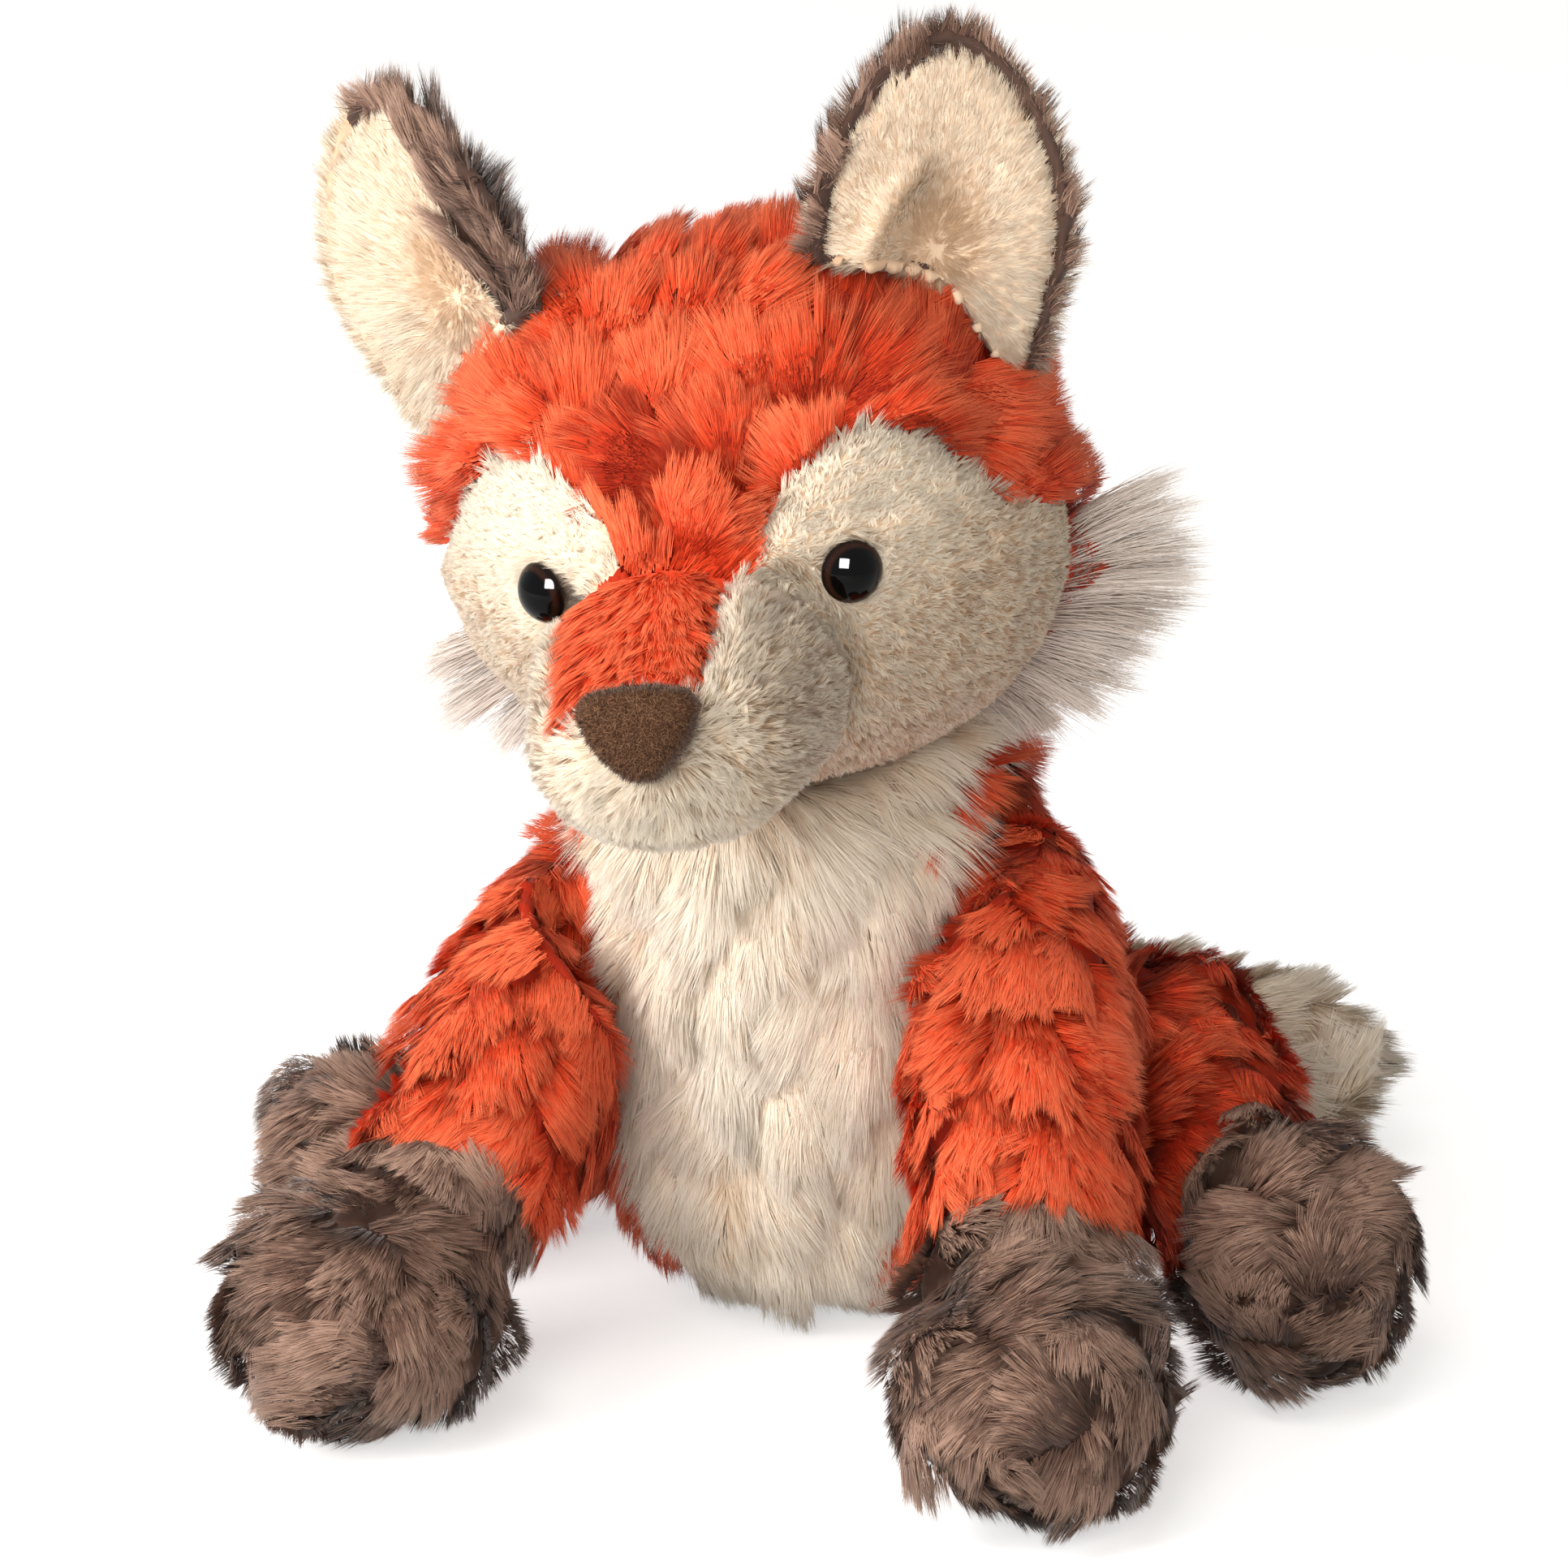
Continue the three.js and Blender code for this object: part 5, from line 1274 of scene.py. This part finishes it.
# Hidden pieces: stuffing inside the cloth, and the pellet pouch and eye washers as the frame has them
hiddenLooks = {
    "polyester_stuffing": {"light": srgb(248, 248, 246), "dark": srgb(222, 222, 220), "scale": 420.0,
                           "roughness": 0.8, "depth": 1.2},
    "pellet_bag": {"light": srgb(236, 232, 222), "dark": srgb(206, 200, 188), "scale": 900.0,
                   "roughness": 0.85, "depth": 0.6},
    "washer_plastic": {"light": srgb(236, 236, 232), "dark": srgb(224, 224, 220), "scale": 1500.0,
                       "roughness": 0.5, "depth": 0.1},
}
frameFinish = {"pellet_pouch": "pellet_bag", "eye_washer_left": "washer_plastic",
               "eye_washer_right": "washer_plastic"}
stuffing = {"voxel": 3.0, "passes": 14, "inset": 2.5, "lumps": 1.2, "lumpPasses": 6, "lumpGain": 3}


def hiddenMaterial(name, look):
    material, n, shader = newMaterial(name)
    wisps = n.noise(n.add("ShaderNodeTexCoord").outputs["Object"], look["scale"], 6.0, 0.7)
    n.put(shader["Base Color"], n.mix(n.ease(wisps, 0.3, 0.7), look["dark"], look["light"]))
    bump = n.add("ShaderNodeBump")
    n.put(bump.inputs["Strength"], 0.6)
    n.put(bump.inputs["Distance"], look["depth"] * mm)
    n.put(bump.inputs["Height"], wisps)
    n.put(shader["Normal"], bump.outputs[0])
    n.put(shader["Roughness"], look["roughness"])
    return material


def makeStuffing(name, body):
    places, faces = roundForm([name], stuffing["voxel"], stuffing["passes"])
    bumps = np.random.default_rng(91).normal(0, 1, len(places))
    lumps = smoothed(bumps, edgesOf(faces), stuffing["lumpPasses"]) * stuffing["lumpGain"]
    inset = stuffing["inset"] + stuffing["lumps"] * np.clip(lumps, 0, 1)
    places = places - vertexNormals(places, faces) * inset[:, None] * mm
    tree = treeOf(skins[body]["places"], skins[body]["faces"])
    for i, p in enumerate(places.tolist()):
        near, normal, _, _ = tree.find_nearest(p)
        if (Vector(p) - near).dot(normal) > -stuffing["inset"] * mm:
            places[i] = near - normal * stuffing["inset"] * mm
    mesh = bpy.data.meshes.new(name + "_fill")
    mesh.from_pydata(places.tolist(), [], faces.tolist())
    mesh.materials.append(hidden["polyester_stuffing"])
    thing = placed(name + "_fill", mesh)
    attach(thing, body)
    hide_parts(name)


hidden = {name: hiddenMaterial(name, look) for name, look in hiddenLooks.items()}
for body, plan in skinPlan.items():
    for name in plan["core"]:
        makeStuffing(name, body)
for name, finish in frameFinish.items():
    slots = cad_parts[name].data.materials
    slots.clear()
    slots.append(hidden[finish])
print("hidden pieces finished")

# Floor and light
studio = {"floorSize": 6.0, "floorColour": (0.8, 0.8, 0.8), "floorRoughness": 0.9, "floorGloss": 0.1,
          "floorGlow": 0.54, "worldLevel": 0.41, "worldTint": (1.0, 0.96, 0.91)}
lamp = {"distance": 1.5, "size": 0.8, "tint": (1.0, 1.0, 1.0)}
lamps = {
    "key": {**lamp, "side": -42.0, "above": 26.0, "power": 21.5},
    "top": {**lamp, "side": -4.0, "above": 58.0, "size": 0.7, "power": 6.0, "tint": (1.0, 0.99, 0.97)},
    "front": {**lamp, "side": 6.0, "above": 22.0, "size": 0.6, "power": 6.5, "tint": (1.0, 0.99, 0.97)},
    "fill": {"side": 80.0, "above": 30.0, "distance": 1.8, "size": 1.2, "power": 1.2,
             "tint": (1.0, 0.94, 0.88)},
    "catch": {**lamp, "side": 6.0, "above": 34.0, "power": 280.0},
}


def makeFloor():
    s = studio["floorSize"]
    mesh = bpy.data.meshes.new("floor")
    mesh.from_pydata([(-s, -s, 0), (s, -s, 0), (s, s, 0), (-s, s, 0)], [], [(0, 1, 2, 3)])
    material, n, shader = newMaterial("paleFloor")
    n.put(shader["Base Color"], studio["floorColour"])
    n.put(shader["Roughness"], studio["floorRoughness"])
    n.put(shader["Specular IOR Level"], studio["floorGloss"])
    n.put(shader["Emission Color"], (1.0, 1.0, 1.0))
    n.put(shader["Emission Strength"], n.math("MULTIPLY", n.shownRays(), studio["floorGlow"]))
    mesh.materials.append(material)
    placed("floor", mesh)


# The world is white behind the object, and lights it at a lower, warmer level
def makeWorld():
    world = bpy.data.worlds.new("studio")
    world.use_nodes = True
    n = Nodes(world.node_tree)
    background = world.node_tree.nodes["Background"].inputs
    level, shown = studio["worldLevel"], n.shownRays()
    n.put(background["Strength"], n.math("ADD", n.math("MULTIPLY", shown, 1 - level), level))
    n.put(background["Color"], n.mix(n.math("SUBTRACT", 1.0, shown), (1.0, 1.0, 1.0), studio["worldTint"]))
    scene.world = world


# The lamp named catch lights the eyes alone, for the window's highlight in them
def makeLamps():
    onlyEyes = bpy.data.collections.new("onlyEyes")
    for thing in eyes:
        onlyEyes.objects.link(thing)
    for name, lamp in lamps.items():
        data = bpy.data.lights.new(name, "AREA")
        data.shape = "SQUARE"
        data.size = lamp["size"]
        data.energy = lamp["power"]
        data.color = lamp["tint"]
        thing = aimed(bpy.data.objects.new(name, data), lamp)
        thing.visible_glossy = name == "catch"
        if name == "catch":
            thing.visible_diffuse = False
            thing.light_linking.receiver_collection = onlyEyes


makeFloor()
makeWorld()
makeLamps()
scene.view_settings.view_transform = "Standard"
print("stage set")
